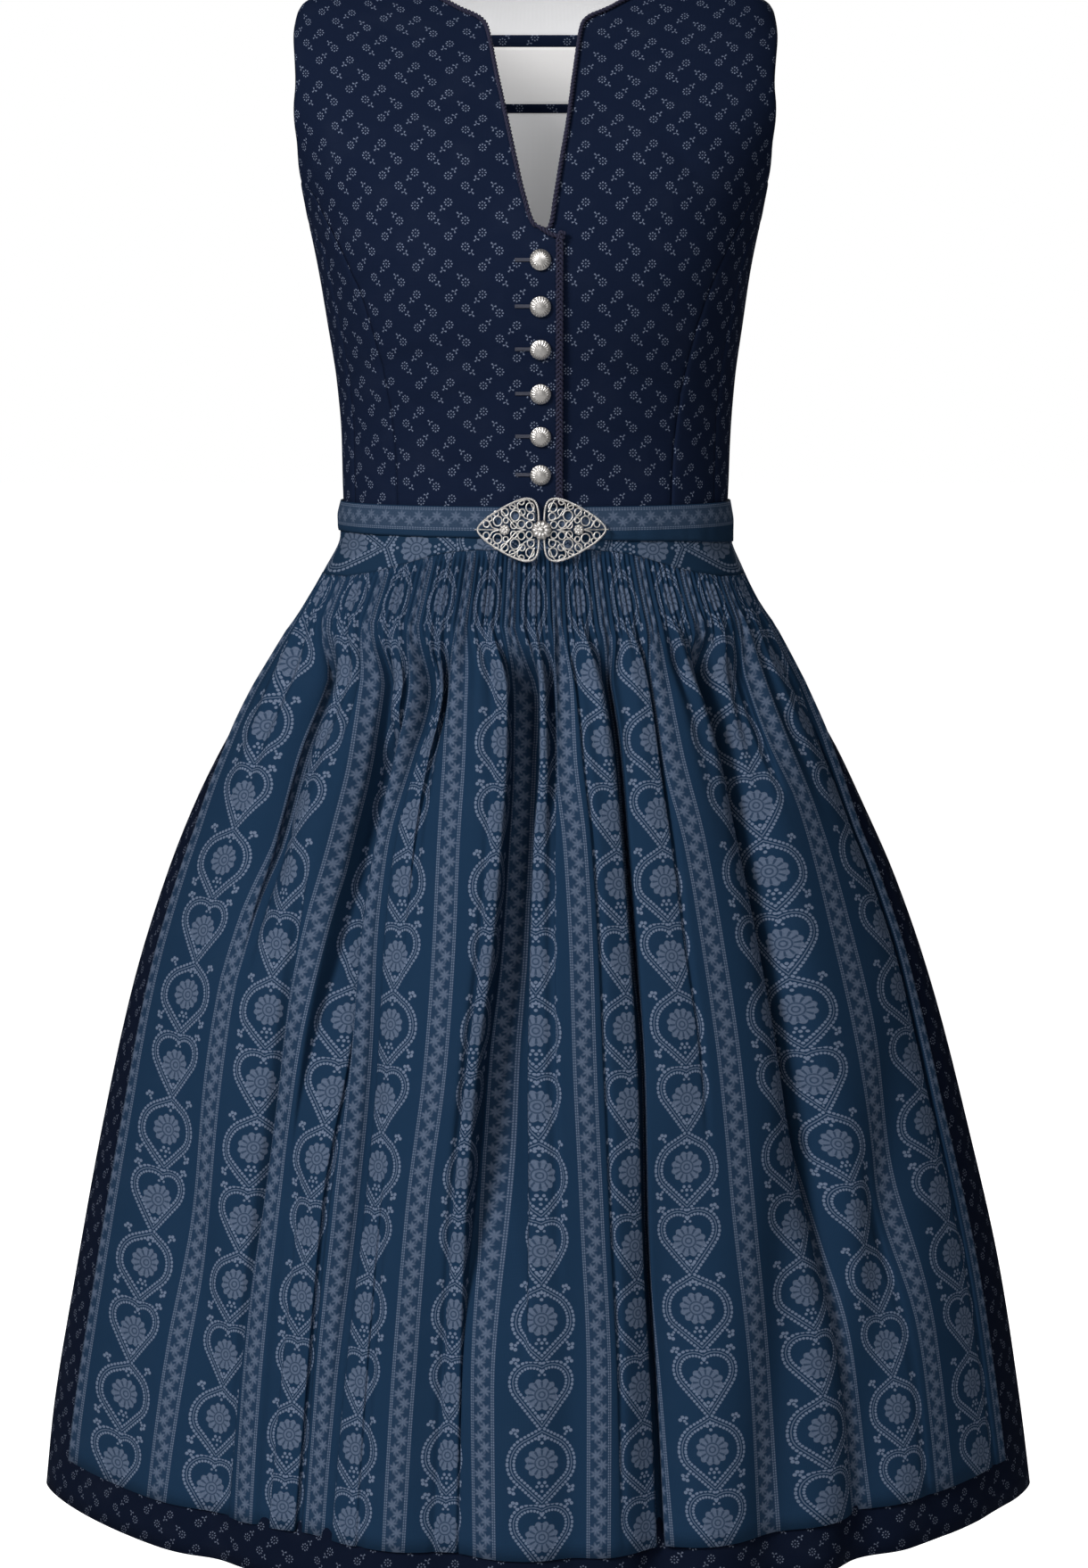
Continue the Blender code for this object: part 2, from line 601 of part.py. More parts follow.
def neck_cords():
    """The cord along neckline and slit. On the right it turns to the placket under the slit."""
    for tag, side, slit in (("right", -1, SLIT_RIGHT), ("left", 1, SLIT_LEFT)):
        front = tree_of(bpy.data.objects[f"bodice_front_{tag}"])
        route = [Edge(side * 0.0800, -0.0030)]
        route += [Edge(side * edge.x, edge.z - 0.0012) for edge in NECKLINE[-2::-1]]
        route += [Edge(edge.x + side * 0.0008, edge.z - 0.0008) for edge in slit[::-1]]
        if side < 0:
            route += [Edge(0.0105, -0.1656)]
        else:
            route = route[:-1] + [Edge(0.0092, -0.1600)]
        points = []
        for edge in along(route, CORD_STEP):
            lift = placket_lift(edge.x) * below_slit(edge.z) if side < 0 else 0.0
            lift = max(lift, seat(front, around_at(edge.x, edge.z), edge.z, 1))
            points.append(on_front(edge.x, edge.z, lift + CORD_RADIUS + SEAM))
        cord(f"neck_cord_{tag}", points, CORD_RADIUS)


def placket_braid():
    """A flat plait on the placket's edge, from the end of the slit down to the tie."""
    front = tree_of(bpy.data.objects["bodice_front_right"])
    bm = bmesh.new()
    bmesh.ops.create_grid(bm, x_segments=2, y_segments=14, size=1.0)
    raised = bmesh.ops.extrude_face_region(bm, geom=bm.faces[:], use_keep_orig=True)["geom"]
    for vertex in raised:
        if isinstance(vertex, bmesh.types.BMVert):
            vertex.co.z = 1.0
    for vertex in bm.verts:
        x = PLACKET_EDGE - BRAID_HALF - 0.0002 + vertex.co.x * BRAID_HALF
        z = BRAID_BOTTOM + (BRAID_TOP - BRAID_BOTTOM) * (vertex.co.y + 1) / 2
        crown = BRAID_THICK * (1.0 - 0.45 * vertex.co.x ** 2) if vertex.co.z > 0.5 else 0.0
        vertex.co = on_front(x, z, seat(front, around_at(x, z), z, 1) + 2 * SEAM + crown)
    return piece("placket_braid", bm, "braid")


def turned(name, profile, place, colour):
    """A profile of (radius, height) turned about its axis, set on the front facing outwards."""
    mesh = bpy.data.meshes.new(name)
    mesh.from_pydata([(r, 0.0, h) for r, h in profile], [(i, i + 1) for i in range(len(profile) - 1)], [])
    mesh.materials.append(paint(colour))
    made = bpy.data.objects.new(name, mesh)
    screw = made.modifiers.new("turn", "SCREW")
    screw.steps = screw.render_steps = TURNED_STEPS
    screw.use_merge_vertices = True
    screw.merge_threshold = 0.00001
    screw.use_smooth_shade = True
    point, normal = place
    made.matrix_world = Matrix.Translation(point) @ normal.to_track_quat("Z", "Y").to_matrix().to_4x4()
    GARMENT.objects.link(made)
    return made


def buttons():
    """Domed buttons, each seated on the highest point of the cloth under it."""
    front = tree_of(bpy.data.objects["bodice_front_right"])
    rim = [(BUTTON_RADIUS * math.cos(turn), BUTTON_RADIUS * math.sin(turn))
           for turn in np.linspace(0, 2 * math.pi, TURNED_STEPS + 1)]
    for number, z in enumerate(BUTTON_HEIGHTS, 1):
        around = around_at(BUTTON_X, z)
        rise = max(seat(front, around_at(BUTTON_X + dx, z + dz), z + dz, 1) for dx, dz in [(0, 0)] + rim)
        point = on_front(BUTTON_X, z, rise + SEAM)
        turned(f"button_{number}", BUTTON_PROFILE, (point, outward(around, z)), "silver")


def yoke_edge(x):
    return float(np.interp(abs(x), [edge.x for edge in YOKE_EDGE], [edge.z for edge in YOKE_EDGE]))


def yoke_level(around, share):
    """Height on the yoke: share 0 is its lower edge, 1 its upper edge."""
    low = yoke_edge(figure(around, -0.360).x)
    return low + (YOKE_TOP - low) * share


def centre_lift(around, z):
    """The step of the placket under the bands, faded out below the waist."""
    if abs(around) > 1:
        return 0.0
    return placket_lift(figure(around, z).x) * smooth((z + 0.390) / 0.045)


def apron_yoke():
    outer, inner = [], []
    for share in YOKE_ROWS:
        for rows, off in ((outer, YOKE_OFF + WALL), (inner, YOKE_OFF)):
            row = []
            for i in range(YOKE_COLUMNS + 1):
                around = YOKE_END * (2 * i / YOKE_COLUMNS - 1)
                z = yoke_level(around, share)
                point = figure(around, z) + outward(around, z) * (off + centre_lift(around, z))
                row.append((i / YOKE_COLUMNS, point))
            rows.append(row)
    return lofted("apron_yoke", outer, inner, "apron")


def tie_low(around):
    return float(np.interp(around, [place for place, _ in TIE_EDGE], [z for _, z in TIE_EDGE]))


def apron_ties():
    """The two ties, each from its half of the clasp round to the centre back."""
    for tag, side in (("right", -1), ("left", 1)):
        first = around_at(TIE_STARTS[tag], TIE_TOP)
        last = side * (2.0 - TIE_END_GAP)
        places = [first + (last - first) * i / TIE_COLUMNS for i in range(TIE_COLUMNS + 1)]
        places = places if side > 0 else places[::-1]
        outer, inner = [], []
        for share in TIE_ROWS:
            for rows, wall in ((outer, WALL), (inner, 0.0)):
                row = []
                for i, around in enumerate(places):
                    low = tie_low(around)
                    z = low + (TIE_TOP - low) * share
                    over = smooth((YOKE_END + 0.14 - abs(around)) / 0.08) * (share < 1.0)
                    off = YOKE_OFF + (TIE_OVER_YOKE - YOKE_OFF) * over + centre_lift(around, z)
                    if z < WAIST and abs(around) > YOKE_END:
                        off += TIE_OVER_SKIRT
                    row.append((i / TIE_COLUMNS, figure(around, z) + outward(around, z) * (off + wall)))
                rows.append(row)
        lofted(f"apron_tie_{tag}", outer, inner, "apron")


def apron_edge(z):
    rows = sorted(APRON_EDGE)
    return float(np.interp(z, [row.z for row in rows], [row.share for row in rows]))


def apron_level(around, level):
    """Heights of the apron's rows: those above the end of the gauging follow the yoke's edge."""
    top = yoke_edge(figure(around, -0.360).x) - 2 * SEAM
    return {"top": top, "gauging": (top + GAUGING_END) / 2}.get(level, level)


def apron():
    """One width, with pleats raised on its outer face down to the end of the gauging."""
    lower = [APRON_HEM] + [z for z in SKIRT_LEVELS[::-1] if APRON_HEM < z < GAUGING_END]
    gauged = [GAUGING_END, "gauging", "top"]

    def point(share, level, out):
        z_guess = GAUGING_END if isinstance(level, str) else level
        edge = apron_edge(z_guess)
        around = -edge + 2 * edge * share
        z = apron_level(around, level)
        base = 0.0006 + 0.0004 * smooth((GAUGING_END - z) / 0.03)
        out += base + centre_lift(around, z) - front_folds(around, z)
        return figure(around, z) + outward(around, z) * out

    coarse = [i / APRON_COLUMNS for i in range(APRON_COLUMNS + 1)]
    fine = [i / (2 * GAUGING_PLEATS) for i in range(2 * GAUGING_PLEATS + 1)]
    outer = [[(s, point(s, z, WALL)) for s in coarse] for z in lower]
    for level in gauged:
        ridge = 0.6 * APRON_PLEAT if level == GAUGING_END else APRON_PLEAT
        outer.append([(s, point(s, level, WALL + (ridge if i % 2 else 0.0)))
                      for i, s in enumerate(fine)])
    inner = [[(s, point(s, z, 0.0)) for s in coarse] for z in lower + gauged]
    return lofted("apron", outer, inner, "apron")


def skirt_front():
    """The front width under the apron. Its columns lie under the apron's own."""
    def places(z):
        edge = apron_edge(z)
        under = [-edge + 2 * edge * i / APRON_COLUMNS for i in range(APRON_COLUMNS + 1)]
        beside = [edge + (1 - edge) * (i + 1) / SKIRT_SIDE_COLUMNS for i in range(SKIRT_SIDE_COLUMNS)]
        return [-place for place in beside[::-1]] + under + beside

    def row(z, out):
        found = places(z)
        made = []
        for i, around in enumerate(found):
            point = figure(around, z) + outward(around, z) * (out - front_folds(around, z))
            if i in (0, len(found) - 1):
                point.y -= SEAM / 2
            made.append((i / (len(found) - 1), point))
        return made

    levels = SKIRT_LEVELS[::-1]
    return lofted("skirt_front", [row(z, 0.0) for z in levels], [row(z, -WALL) for z in levels],
                  "skirt")


def skirt_back():
    """The back width, with its gathers raised under the waist seam."""
    def row(z, count, out, pleat=0.0):
        made = []
        for i in range(count + 1):
            around = 1.0 + 2.0 * i / count
            ridge = pleat if i % 2 and BACK_PLEATS_FROM < around < 4 - BACK_PLEATS_FROM else 0.0
            point = figure(around, z) + outward(around, z) * (out + ridge - back_folds(around, z))
            if i in (0, count):
                point.y += SEAM / 2
            made.append((i / count, point))
        return made

    outer = [row(z, BACK_COLUMNS, 0.0) for z in SKIRT_LEVELS[::-1] if z < BACK_PLEATS_END]
    outer += [row(z, 2 * BACK_PLEATS, 0.0, BACK_PLEAT) for z in SKIRT_LEVELS[::-1] if z >= BACK_PLEATS_END]
    inner = [row(z, BACK_COLUMNS, -WALL) for z in SKIRT_LEVELS[::-1]]
    return lofted("skirt_back", outer, inner, "skirt")


def clasp():
    """Two leaf-shaped halves with a raised rim, hooked together behind a small rosette."""
    leaf = CLASP_LEAF + [Lobe(lobe.out, -lobe.up) for lobe in CLASP_LEAF[-2::-1]]
    for tag, side in (("right", -1), ("left", 1)):
        bm = bmesh.new()
        rings = []
        for size, height in CLASP_RINGS:
            ring = []
            for lobe in leaf:
                x = CLASP_X + side * (CLASP_MIDDLE + (lobe.out - CLASP_MIDDLE) * size)
                point = clasp_point(x, CLASP_Z + lobe.up * size, CLASP_OVER + CLASP_THICK * height)
                ring.append(bm.verts.new(point))
            rings.append(ring)
        bm.faces.new(rings[0])
        for outer, inner in zip(rings, rings[1:]):
            for i in range(len(leaf)):
                j = (i + 1) % len(leaf)
                bm.faces.new([outer[i], outer[j], inner[j], inner[i]])
        crown = clasp_point(CLASP_X + side * CLASP_MIDDLE, CLASP_Z, CLASP_OVER + CLASP_THICK * CLASP_CROWN)
        top = bm.verts.new(crown)
        for i in range(len(leaf)):
            bm.faces.new([rings[-1][i], rings[-1][(i + 1) % len(leaf)], top])
        bmesh.ops.triangulate(bm, faces=bm.faces)
        piece(f"clasp_{tag}", bm, "silver")
    place = clasp_point(CLASP_X, CLASP_Z, CLASP_OVER + CLASP_THICK + SEAM)
    turned("clasp_rosette", ROSETTE_PROFILE, (place, outward(around_at(CLASP_X, CLASP_Z), CLASP_Z)), "silver")


def clasp_point(x, z, out):
    """Clasp metal bends round the waist but stands straight up and down."""
    around = around_at(x, CLASP_Z)
    normal = outward(around, CLASP_Z)
    normal = Vector((normal.x, normal.y, 0.0)).normalized()
    point = figure(around, CLASP_Z) + normal * (out + CLASP_LEAN * (CLASP_Z - z))
    return Vector((point.x, point.y, z))


for old in list(bpy.data.objects):
    bpy.data.objects.remove(old, do_unlink=True)
GARMENT = bpy.data.collections.new("dirndl")
bpy.context.scene.collection.children.link(GARMENT)

front_panel("bodice_front_right", -1, SLIT_RIGHT, PLACKET_EDGE)
front_panel("bodice_front_left", 1, SLIT_LEFT, UNDERLAP_EDGE)
side_panels(-1)
side_panels(1)
back_centre()
label()
neck_cords()
placket_braid()
buttons()
skirt_front()
skirt_back()
apron()
apron_yoke()
apron_ties()
clasp()
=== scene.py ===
# %% [markdown]
# A dirndl with its apron, dressed for a photograph. The CAD frame holds the plain walls of cloth
# and the plain metal. Here each piece of cloth becomes a fine sheet with its print, folds and
# stitching, on the same figure surface, so that every piece keeps its place and its size.

# %% Load the frame
import math
from collections import namedtuple

import bmesh
import bpy
import numpy as np
from mathutils import Matrix, Vector


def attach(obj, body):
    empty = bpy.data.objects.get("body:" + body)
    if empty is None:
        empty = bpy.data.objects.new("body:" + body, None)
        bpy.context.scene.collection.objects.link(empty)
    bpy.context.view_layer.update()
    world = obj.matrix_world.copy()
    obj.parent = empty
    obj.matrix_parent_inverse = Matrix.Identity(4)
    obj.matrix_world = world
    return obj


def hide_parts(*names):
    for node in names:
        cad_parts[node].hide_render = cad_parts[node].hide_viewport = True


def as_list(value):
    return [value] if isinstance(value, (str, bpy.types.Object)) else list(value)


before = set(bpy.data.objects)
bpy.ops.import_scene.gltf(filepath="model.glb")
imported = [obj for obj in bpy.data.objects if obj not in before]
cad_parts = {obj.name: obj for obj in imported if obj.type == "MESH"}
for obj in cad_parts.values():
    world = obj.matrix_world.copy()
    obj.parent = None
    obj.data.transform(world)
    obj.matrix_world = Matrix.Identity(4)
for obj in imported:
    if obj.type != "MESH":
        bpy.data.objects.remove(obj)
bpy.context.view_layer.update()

# %% [markdown]
# Worn cloth follows a body, so every piece of the dress lies on one figure. Sections of it at set
# heights give its half widths, its depths, and how square each outline is. A cubic that never
# swings past its table joins them, as a spline drawn by hand through the measures would.

# %% The figure's measures
Section = namedtuple("Section", "z right left front back across through")
FIGURE = [
    Section(0.0000, 0.0820, 0.0820, 0.012, 0.012, 2.00, 2.00),
    Section(-0.0080, 0.1070, 0.1070, 0.027, 0.036, 2.30, 2.30),
    Section(-0.0220, 0.1420, 0.1440, 0.043, 0.052, 2.80, 2.80),
    Section(-0.0350, 0.1480, 0.1495, 0.055, 0.061, 3.10, 3.10),
    Section(-0.0550, 0.1545, 0.1560, 0.070, 0.071, 3.30, 3.30),
    Section(-0.0800, 0.1570, 0.1580, 0.086, 0.082, 3.20, 3.20),
    Section(-0.1150, 0.1490, 0.1495, 0.107, 0.093, 2.90, 2.90),
    Section(-0.1500, 0.1400, 0.1400, 0.119, 0.097, 2.60, 2.60),
    Section(-0.1820, 0.1335, 0.1335, 0.123, 0.097, 2.50, 2.50),
    Section(-0.2150, 0.1283, 0.1290, 0.118, 0.092, 2.40, 2.40),
    Section(-0.2500, 0.1232, 0.1246, 0.106, 0.085, 2.30, 2.30),
    Section(-0.2850, 0.1207, 0.1223, 0.096, 0.079, 2.20, 2.20),
    Section(-0.3125, 0.1203, 0.1215, 0.090, 0.078, 2.20, 2.20),
    Section(-0.3450, 0.1195, 0.1205, 0.088, 0.078, 2.20, 2.20),
    Section(-0.3700, 0.1315, 0.1300, 0.094, 0.087, 2.10, 2.05),
    Section(-0.3950, 0.1465, 0.1430, 0.103, 0.098, 2.05, 1.85),
    Section(-0.4200, 0.1620, 0.1570, 0.111, 0.109, 2.00, 1.72),
    Section(-0.4480, 0.1795, 0.1725, 0.120, 0.120, 1.95, 1.60),
    Section(-0.4800, 0.1985, 0.1915, 0.130, 0.131, 1.90, 1.50),
    Section(-0.5160, 0.2166, 0.2089, 0.140, 0.141, 1.87, 1.43),
    Section(-0.5630, 0.2357, 0.2301, 0.151, 0.151, 1.85, 1.39),
    Section(-0.6330, 0.2582, 0.2549, 0.165, 0.164, 1.83, 1.36),
    Section(-0.7270, 0.2803, 0.2804, 0.178, 0.178, 1.80, 1.34),
    Section(-0.8230, 0.2993, 0.3033, 0.188, 0.188, 1.80, 1.33),
    Section(-0.9200, 0.3168, 0.3196, 0.197, 0.197, 1.80, 1.32),
    Section(-0.9703, 0.3227, 0.3266, 0.200, 0.200, 1.80, 1.32),
]
WAIST, HEM = -0.3450, -0.9703


def cubic(at, values, where):
    """A smooth curve through a table that never swings past it. at rises."""
    at, values, where = np.asarray(at, float), np.asarray(values, float), np.asarray(where, float)
    steps = np.diff(values) / np.diff(at)
    slopes = np.zeros(len(values))
    both = steps[:-1] * steps[1:] > 0
    total = steps[:-1] + steps[1:]
    slopes[1:-1][both] = (2 * steps[:-1] * steps[1:])[both] / total[both]
    slopes[0], slopes[-1] = steps[0], steps[-1]
    where = np.clip(where, at[0], at[-1])
    i = np.clip(np.searchsorted(at, where) - 1, 0, len(at) - 2)
    span = at[i + 1] - at[i]
    t = (where - at[i]) / span
    return ((1 + 2 * t) * (1 - t) ** 2 * values[i] + t * (1 - t) ** 2 * span * slopes[i]
            + t * t * (3 - 2 * t) * values[i + 1] - t * t * (1 - t) * span * slopes[i + 1])


# %% [markdown]
# Places on the figure are named by how far round they lie: 0 at the centre front, 1 at the
# wearer's left side, 2 at the centre back and -1 at the right side. A table with a row for each
# millimetre of height makes looking up thousands of points quick, which matters for fine cloth.

# %% A table of the figure's surface
LEVEL_STEP = 0.001
LEVELS = -np.arange(0.0, 0.9725, LEVEL_STEP)
PLACES = np.linspace(-2.0, 2.0, 721)


def survey():
    """Points and quarter lengths of the figure at every level and place."""
    rows = sorted(FIGURE)
    heights = [row.z for row in rows]
    curve = {name: cubic(heights, [getattr(row, name) for row in rows], LEVELS)
             for name in Section._fields[1:]}
    turns = np.linspace(0.0, math.pi / 2, 181)
    points = np.zeros((len(LEVELS), len(PLACES), 3))
    lengths = np.zeros((len(LEVELS), 4))
    quarters = (("left", "front", 1, -1), ("right", "front", -1, -1),
                ("left", "back", 1, 1), ("right", "back", -1, 1))
    for i, z in enumerate(LEVELS):
        for number, (side, face, sign_x, sign_y) in enumerate(quarters):
            x = curve[side][i] * np.sin(turns) ** (2 / curve["across"][i])
            y = curve[face][i] * np.cos(turns) ** (2 / curve["through"][i])
            y[-1] = 0.0
            run = np.concatenate([[0.0], np.cumsum(np.hypot(np.diff(x), np.diff(y)))])
            lengths[i, number] = run[-1]
            if face == "front":
                mine = (PLACES * sign_x >= 0) & (np.abs(PLACES) <= 1)
                share = np.abs(PLACES[mine])
            else:
                mine = (PLACES * sign_x >= 0) & (np.abs(PLACES) >= 1)
                share = 2 - np.abs(PLACES[mine])
            points[i, mine, 0] = sign_x * np.interp(share * run[-1], run, x)
            points[i, mine, 1] = sign_y * np.interp(share * run[-1], run, y)
            points[i, mine, 2] = z
    return points, lengths, curve


POINTS, QUARTERS, CURVE = survey()
WAIST_ROW = round(-WAIST / LEVEL_STEP)
print("figure table", POINTS.shape, "waist round", round(float(QUARTERS[WAIST_ROW].sum()), 3), "m")

# %% [markdown]
# Cloth lies a little off the body, along the direction in which the body faces. So each place
# needs a direction as well as a point. Both tables are read between their rows and columns,
# because a fine sheet of cloth has many more points than they have.

# %% Directions and look-up
def directions(reach=4):
    """Unit normals of the figure, taken over a few neighbours so that ridges are rounded."""
    ring = POINTS[:, :-1]
    run = np.roll(ring, -reach, axis=1) - np.roll(ring, reach, axis=1)
    run = np.concatenate([run, run[:, :1]], axis=1)
    index = np.arange(len(LEVELS))
    rise = POINTS[np.maximum(index - reach, 0)] - POINTS[np.minimum(index + reach, len(LEVELS) - 1)]
    normal = np.cross(run, rise)
    return normal / np.linalg.norm(normal, axis=2, keepdims=True)


NORMALS = directions()


def look(table, around, z):
    """Reads a table of the figure between its levels and places."""
    column = ((np.asarray(around, float) + 2.0) % 4.0) / 4.0 * (len(PLACES) - 1)
    row = np.clip(-np.asarray(z, float) / LEVEL_STEP, 0, len(LEVELS) - 1.001)
    i, j = row.astype(int), np.minimum(column.astype(int), len(PLACES) - 2)
    down, over = (row - i)[..., None], (column - j)[..., None]
    upper = table[i, j] * (1 - over) + table[i, j + 1] * over
    lower = table[i + 1, j] * (1 - over) + table[i + 1, j + 1] * over
    return upper * (1 - down) + lower * down


def on_figure(around, z, out=0.0):
    """Points this far out from the figure."""
    around, z = np.broadcast_arrays(np.asarray(around, float), np.asarray(z, float))
    return look(POINTS, around, z) + look(NORMALS, around, z) * np.asarray(out, float)[..., None]


def quarter_length(z, side, face="front"):
    """Length of a quarter of the outline. side is 1 for the wearer's left."""
    number = (0 if side > 0 else 1) + (2 if face == "back" else 0)
    return np.interp(-np.asarray(z, float), -LEVELS, QUARTERS[:, number])


def around_at(x, z, face="front"):
    """The place round the figure whose point has this x."""
    row = look(POINTS, PLACES, np.full(len(PLACES), z))[:, 0]
    near = np.abs(PLACES) <= 1 if face == "front" else np.abs(PLACES) >= 1
    near &= PLACES * (1 if x >= 0 else -1) >= 0
    order = np.argsort(row[near])
    return float(np.interp(x, row[near][order], PLACES[near][order]))


def smooth(value):
    value = np.clip(value, 0.0, 1.0)
    return value * value * (3 - 2 * value)


# %% [markdown]
# Printed cotton is one colour in the dye bath and another where the pattern was kept out of it.
# The pattern is drawn with sums in the material, from the cloth's own two lengths in
# millimetres, so that it bends and hides in the folds as the cloth does. Writing each
# sum as a node by hand is slow, so a small class turns ordinary arithmetic into nodes.

# %% Arithmetic that makes nodes
class Sum:
    """A number that a material works out at each point of the surface."""

    def __init__(self, tree, socket):
        self.tree, self.socket = tree, socket

    def node(self, operation, *items, clamp=False):
        made = self.tree.nodes.new("ShaderNodeMath")
        made.operation = operation
        made.use_clamp = clamp
        for slot, item in zip(made.inputs, items):
            if isinstance(item, Sum):
                self.tree.links.new(item.socket, slot)
            else:
                slot.default_value = item
        return Sum(self.tree, made.outputs[0])

    def __add__(self, other):
        return self.node("ADD", self, other)

    def __sub__(self, other):
        return self.node("SUBTRACT", self, other)

    def __rsub__(self, other):
        return self.node("SUBTRACT", other, self)

    def __mul__(self, other):
        return self.node("MULTIPLY", self, other)

    def __truediv__(self, other):
        return self.node("DIVIDE", self, other)

    def __abs__(self):
        return self.node("ABSOLUTE", self)

    def most(self, other):
        return self.node("MAXIMUM", self, other)

    def wrap(self, pitch):
        """The place within one repeat, counted from its middle."""
        return self.node("WRAP", self, pitch / 2, -pitch / 2)

    def sine(self, length):
        return self.node("SINE", self * (2 * math.pi / length))

    def cosine(self):
        return self.node("COSINE", self)


def far(x, y):
    """Distance of the point from where x and y are nought."""
    return x.node("SQRT", x * x + y * y)


def bearing(x, y):
    return x.node("ARCTAN2", y, x)


def spot(distance, radius, soft=0.35):
    """1 inside the radius and 0 outside, with a soft edge as ink has on cotton."""
    return distance.node("ADD", (radius - distance) / soft, 0.5, clamp=True)


def together(inks):
    """The strongest of several inks at each point."""
    strongest = inks[0]
    for ink in inks[1:]:
        strongest = strongest.most(ink)
    return strongest


# %% [markdown]
# The three prints are common folk repeats. The apron has columns of hearts and drops with
# rosettes, and narrow border stripes between them. The bodice and the skirt have small
# sprigs. Each is drawn from circles, rings and dots at the sizes measured on the cloth.

# %% The sprig print
SPRIG_CELL = (40.0, 35.6)
SPRIGS = [(0.0, 0.0, 1, -1), (0.0, -20.5, -1, 1), (-10.0, -9.8, -1, -1), (-10.0, -29.5, 1, 1)]
RING_SIZE, LEAF_AWAY, LEAF_SIZE = 2.0, 3.6, 1.8


def sprig(x, y, over, up):
    """Ring of dots with a three-stroke leaf beside it, on the side that over and up name."""
    away = far(x, y)
    beads = (bearing(x, y) * 8.0).cosine()
    ring = spot(abs(away - RING_SIZE), 0.42) * spot(0.15 - beads, 0.0, 0.6)
    leaf_x, leaf_y = x - over * LEAF_AWAY, y - up * LEAF_AWAY
    strokes = ((bearing(leaf_x, leaf_y) - math.atan2(up, over)) * 3.0).cosine()
    leaf = spot(far(leaf_x, leaf_y), LEAF_SIZE) * spot(0.62 - strokes, 0.0, 0.4)
    return together([ring, leaf * 0.9, spot(away, 0.45) * 0.7])


def sprig_print(x, y):
    """Sprigs in four directions, and the same again half a cell on."""
    wide, high = SPRIG_CELL
    inks = []
    for half in (0.0, 0.5):
        for at_x, at_y, over, up in SPRIGS:
            local_x = (x - (at_x + half * wide)).wrap(wide)
            local_y = (y - (at_y + half * high)).wrap(high)
            inks.append(sprig(local_x, local_y, over, up))
    return together(inks)


# %% [markdown]
# A border stripe runs down the cloth between the wide columns, with a dotted line along each
# side and a wavy stem with rayed spots between. Sines of the length down the cloth place the
# dots and the stem, so the stripe has no end and no join.

# %% The border stripe
COLUMN = 65.0
STRIPE_HALF, STEM_REPEAT = 6.8, 10.8


def stripe_print(over, down):
    """Dotted lines, stem and spots. over is counted from the stripe's middle."""
    line = spot(abs(abs(abs(over) - 6.0) - 0.55), 0.34, 0.4) * (down.sine(1.6) * 0.35 + 0.60)
    inks = [line, spot(abs(over - down.sine(STEM_REPEAT) * 1.6), 0.6, 0.8) * 0.35]
    for place, start in ((1.7, 0.0), (-1.7, STEM_REPEAT / 2)):
        x, y = over - place, (down + start).wrap(STEM_REPEAT)
        rays = (bearing(x, y) * 7.0).cosine()
        inks.append(spot(far(x, y) - rays * 0.8, 2.5, 1.9) * 0.60)
    return together(inks)


# %% [markdown]
# The wide column holds a drop and a heart in turn, each edged with lace, with a rosette inside
# and sprouts beside it. Their outlines are circles that go on as straight lines, which need
# only a few sums at each point. Both halves are alike, so one half is drawn and mirrored.

# %% Lace, rosettes and sprouts
SPROUT_DOTS = [(0.0, 0.0, 0.75), (1.7, 0.0, 0.8), (3.5, -1.6, 1.0), (4.1, 0.4, 1.0), (2.7, 1.9, 0.95)]


def lace(away, length):
    """A thin line between two rows of dots."""
    side = abs(away)
    beads = far((side - 1.8) / 0.72, (length / 2.2).wrap(1.0) * 2.2 / 0.85)
    return (spot(side, 0.28, 0.3) * 0.7).most(spot(beads, 1.05, 0.35))


def rosette(x, y, size):
    """Scalloped flower, filled, with its petals and rings left dark."""
    away, turn = far(x, y) / size, bearing(x, y)
    edge = abs(turn.node("SINE", turn * 6.0)) * 0.16 + 0.84
    gaps = spot(abs(away - 0.64), 0.18, 0.06) * spot(0.45 - (turn * 12.0).cosine(), 0.0, 0.5)
    rings = spot(abs(away - 0.40), 0.045, 0.06).most(spot(abs(away - 0.18), 0.045, 0.06))
    return spot(away - edge, 0.0, 0.06) * (0.66 - gaps.most(rings) * 0.50)


def bowed(x, y, centre_x, centre_y, radius, lean):
    """Lace round a circle that goes on straight, lean degrees under its centre's level."""
    dx, dy = x - centre_x, y - centre_y
    lean = math.radians(lean)
    past = (dx * math.sin(lean) + dy * math.cos(lean)) * -1.0
    line_away = dx * math.cos(lean) - dy * math.sin(lean) - radius
    on_line = spot(0.0 - past, 0.0, 0.01)
    away = (far(dx, dy) - radius) * (1.0 - on_line) + line_away * on_line
    length = bearing(dx, dy) * -radius * (1.0 - on_line) + (past + lean * radius) * on_line
    return lace(away, length)


def dot(x, y, at_x, at_y, size):
    return spot(far(x - at_x, y - at_y), size)


def sprout(x, y, at_x, at_y, over, up):
    """A stem of two dots under a fan of three."""
    return together([dot(x, y, at_x + over * out - up * side, at_y + up * out + over * side, size)
                     for out, side, size in SPROUT_DOTS])


# %% [markdown]
# One repeat of the column is 82.6 mm long. Heights in it are counted down from the drop's tip,
# so they are negative, and each curve is kept to its own stretch of them.

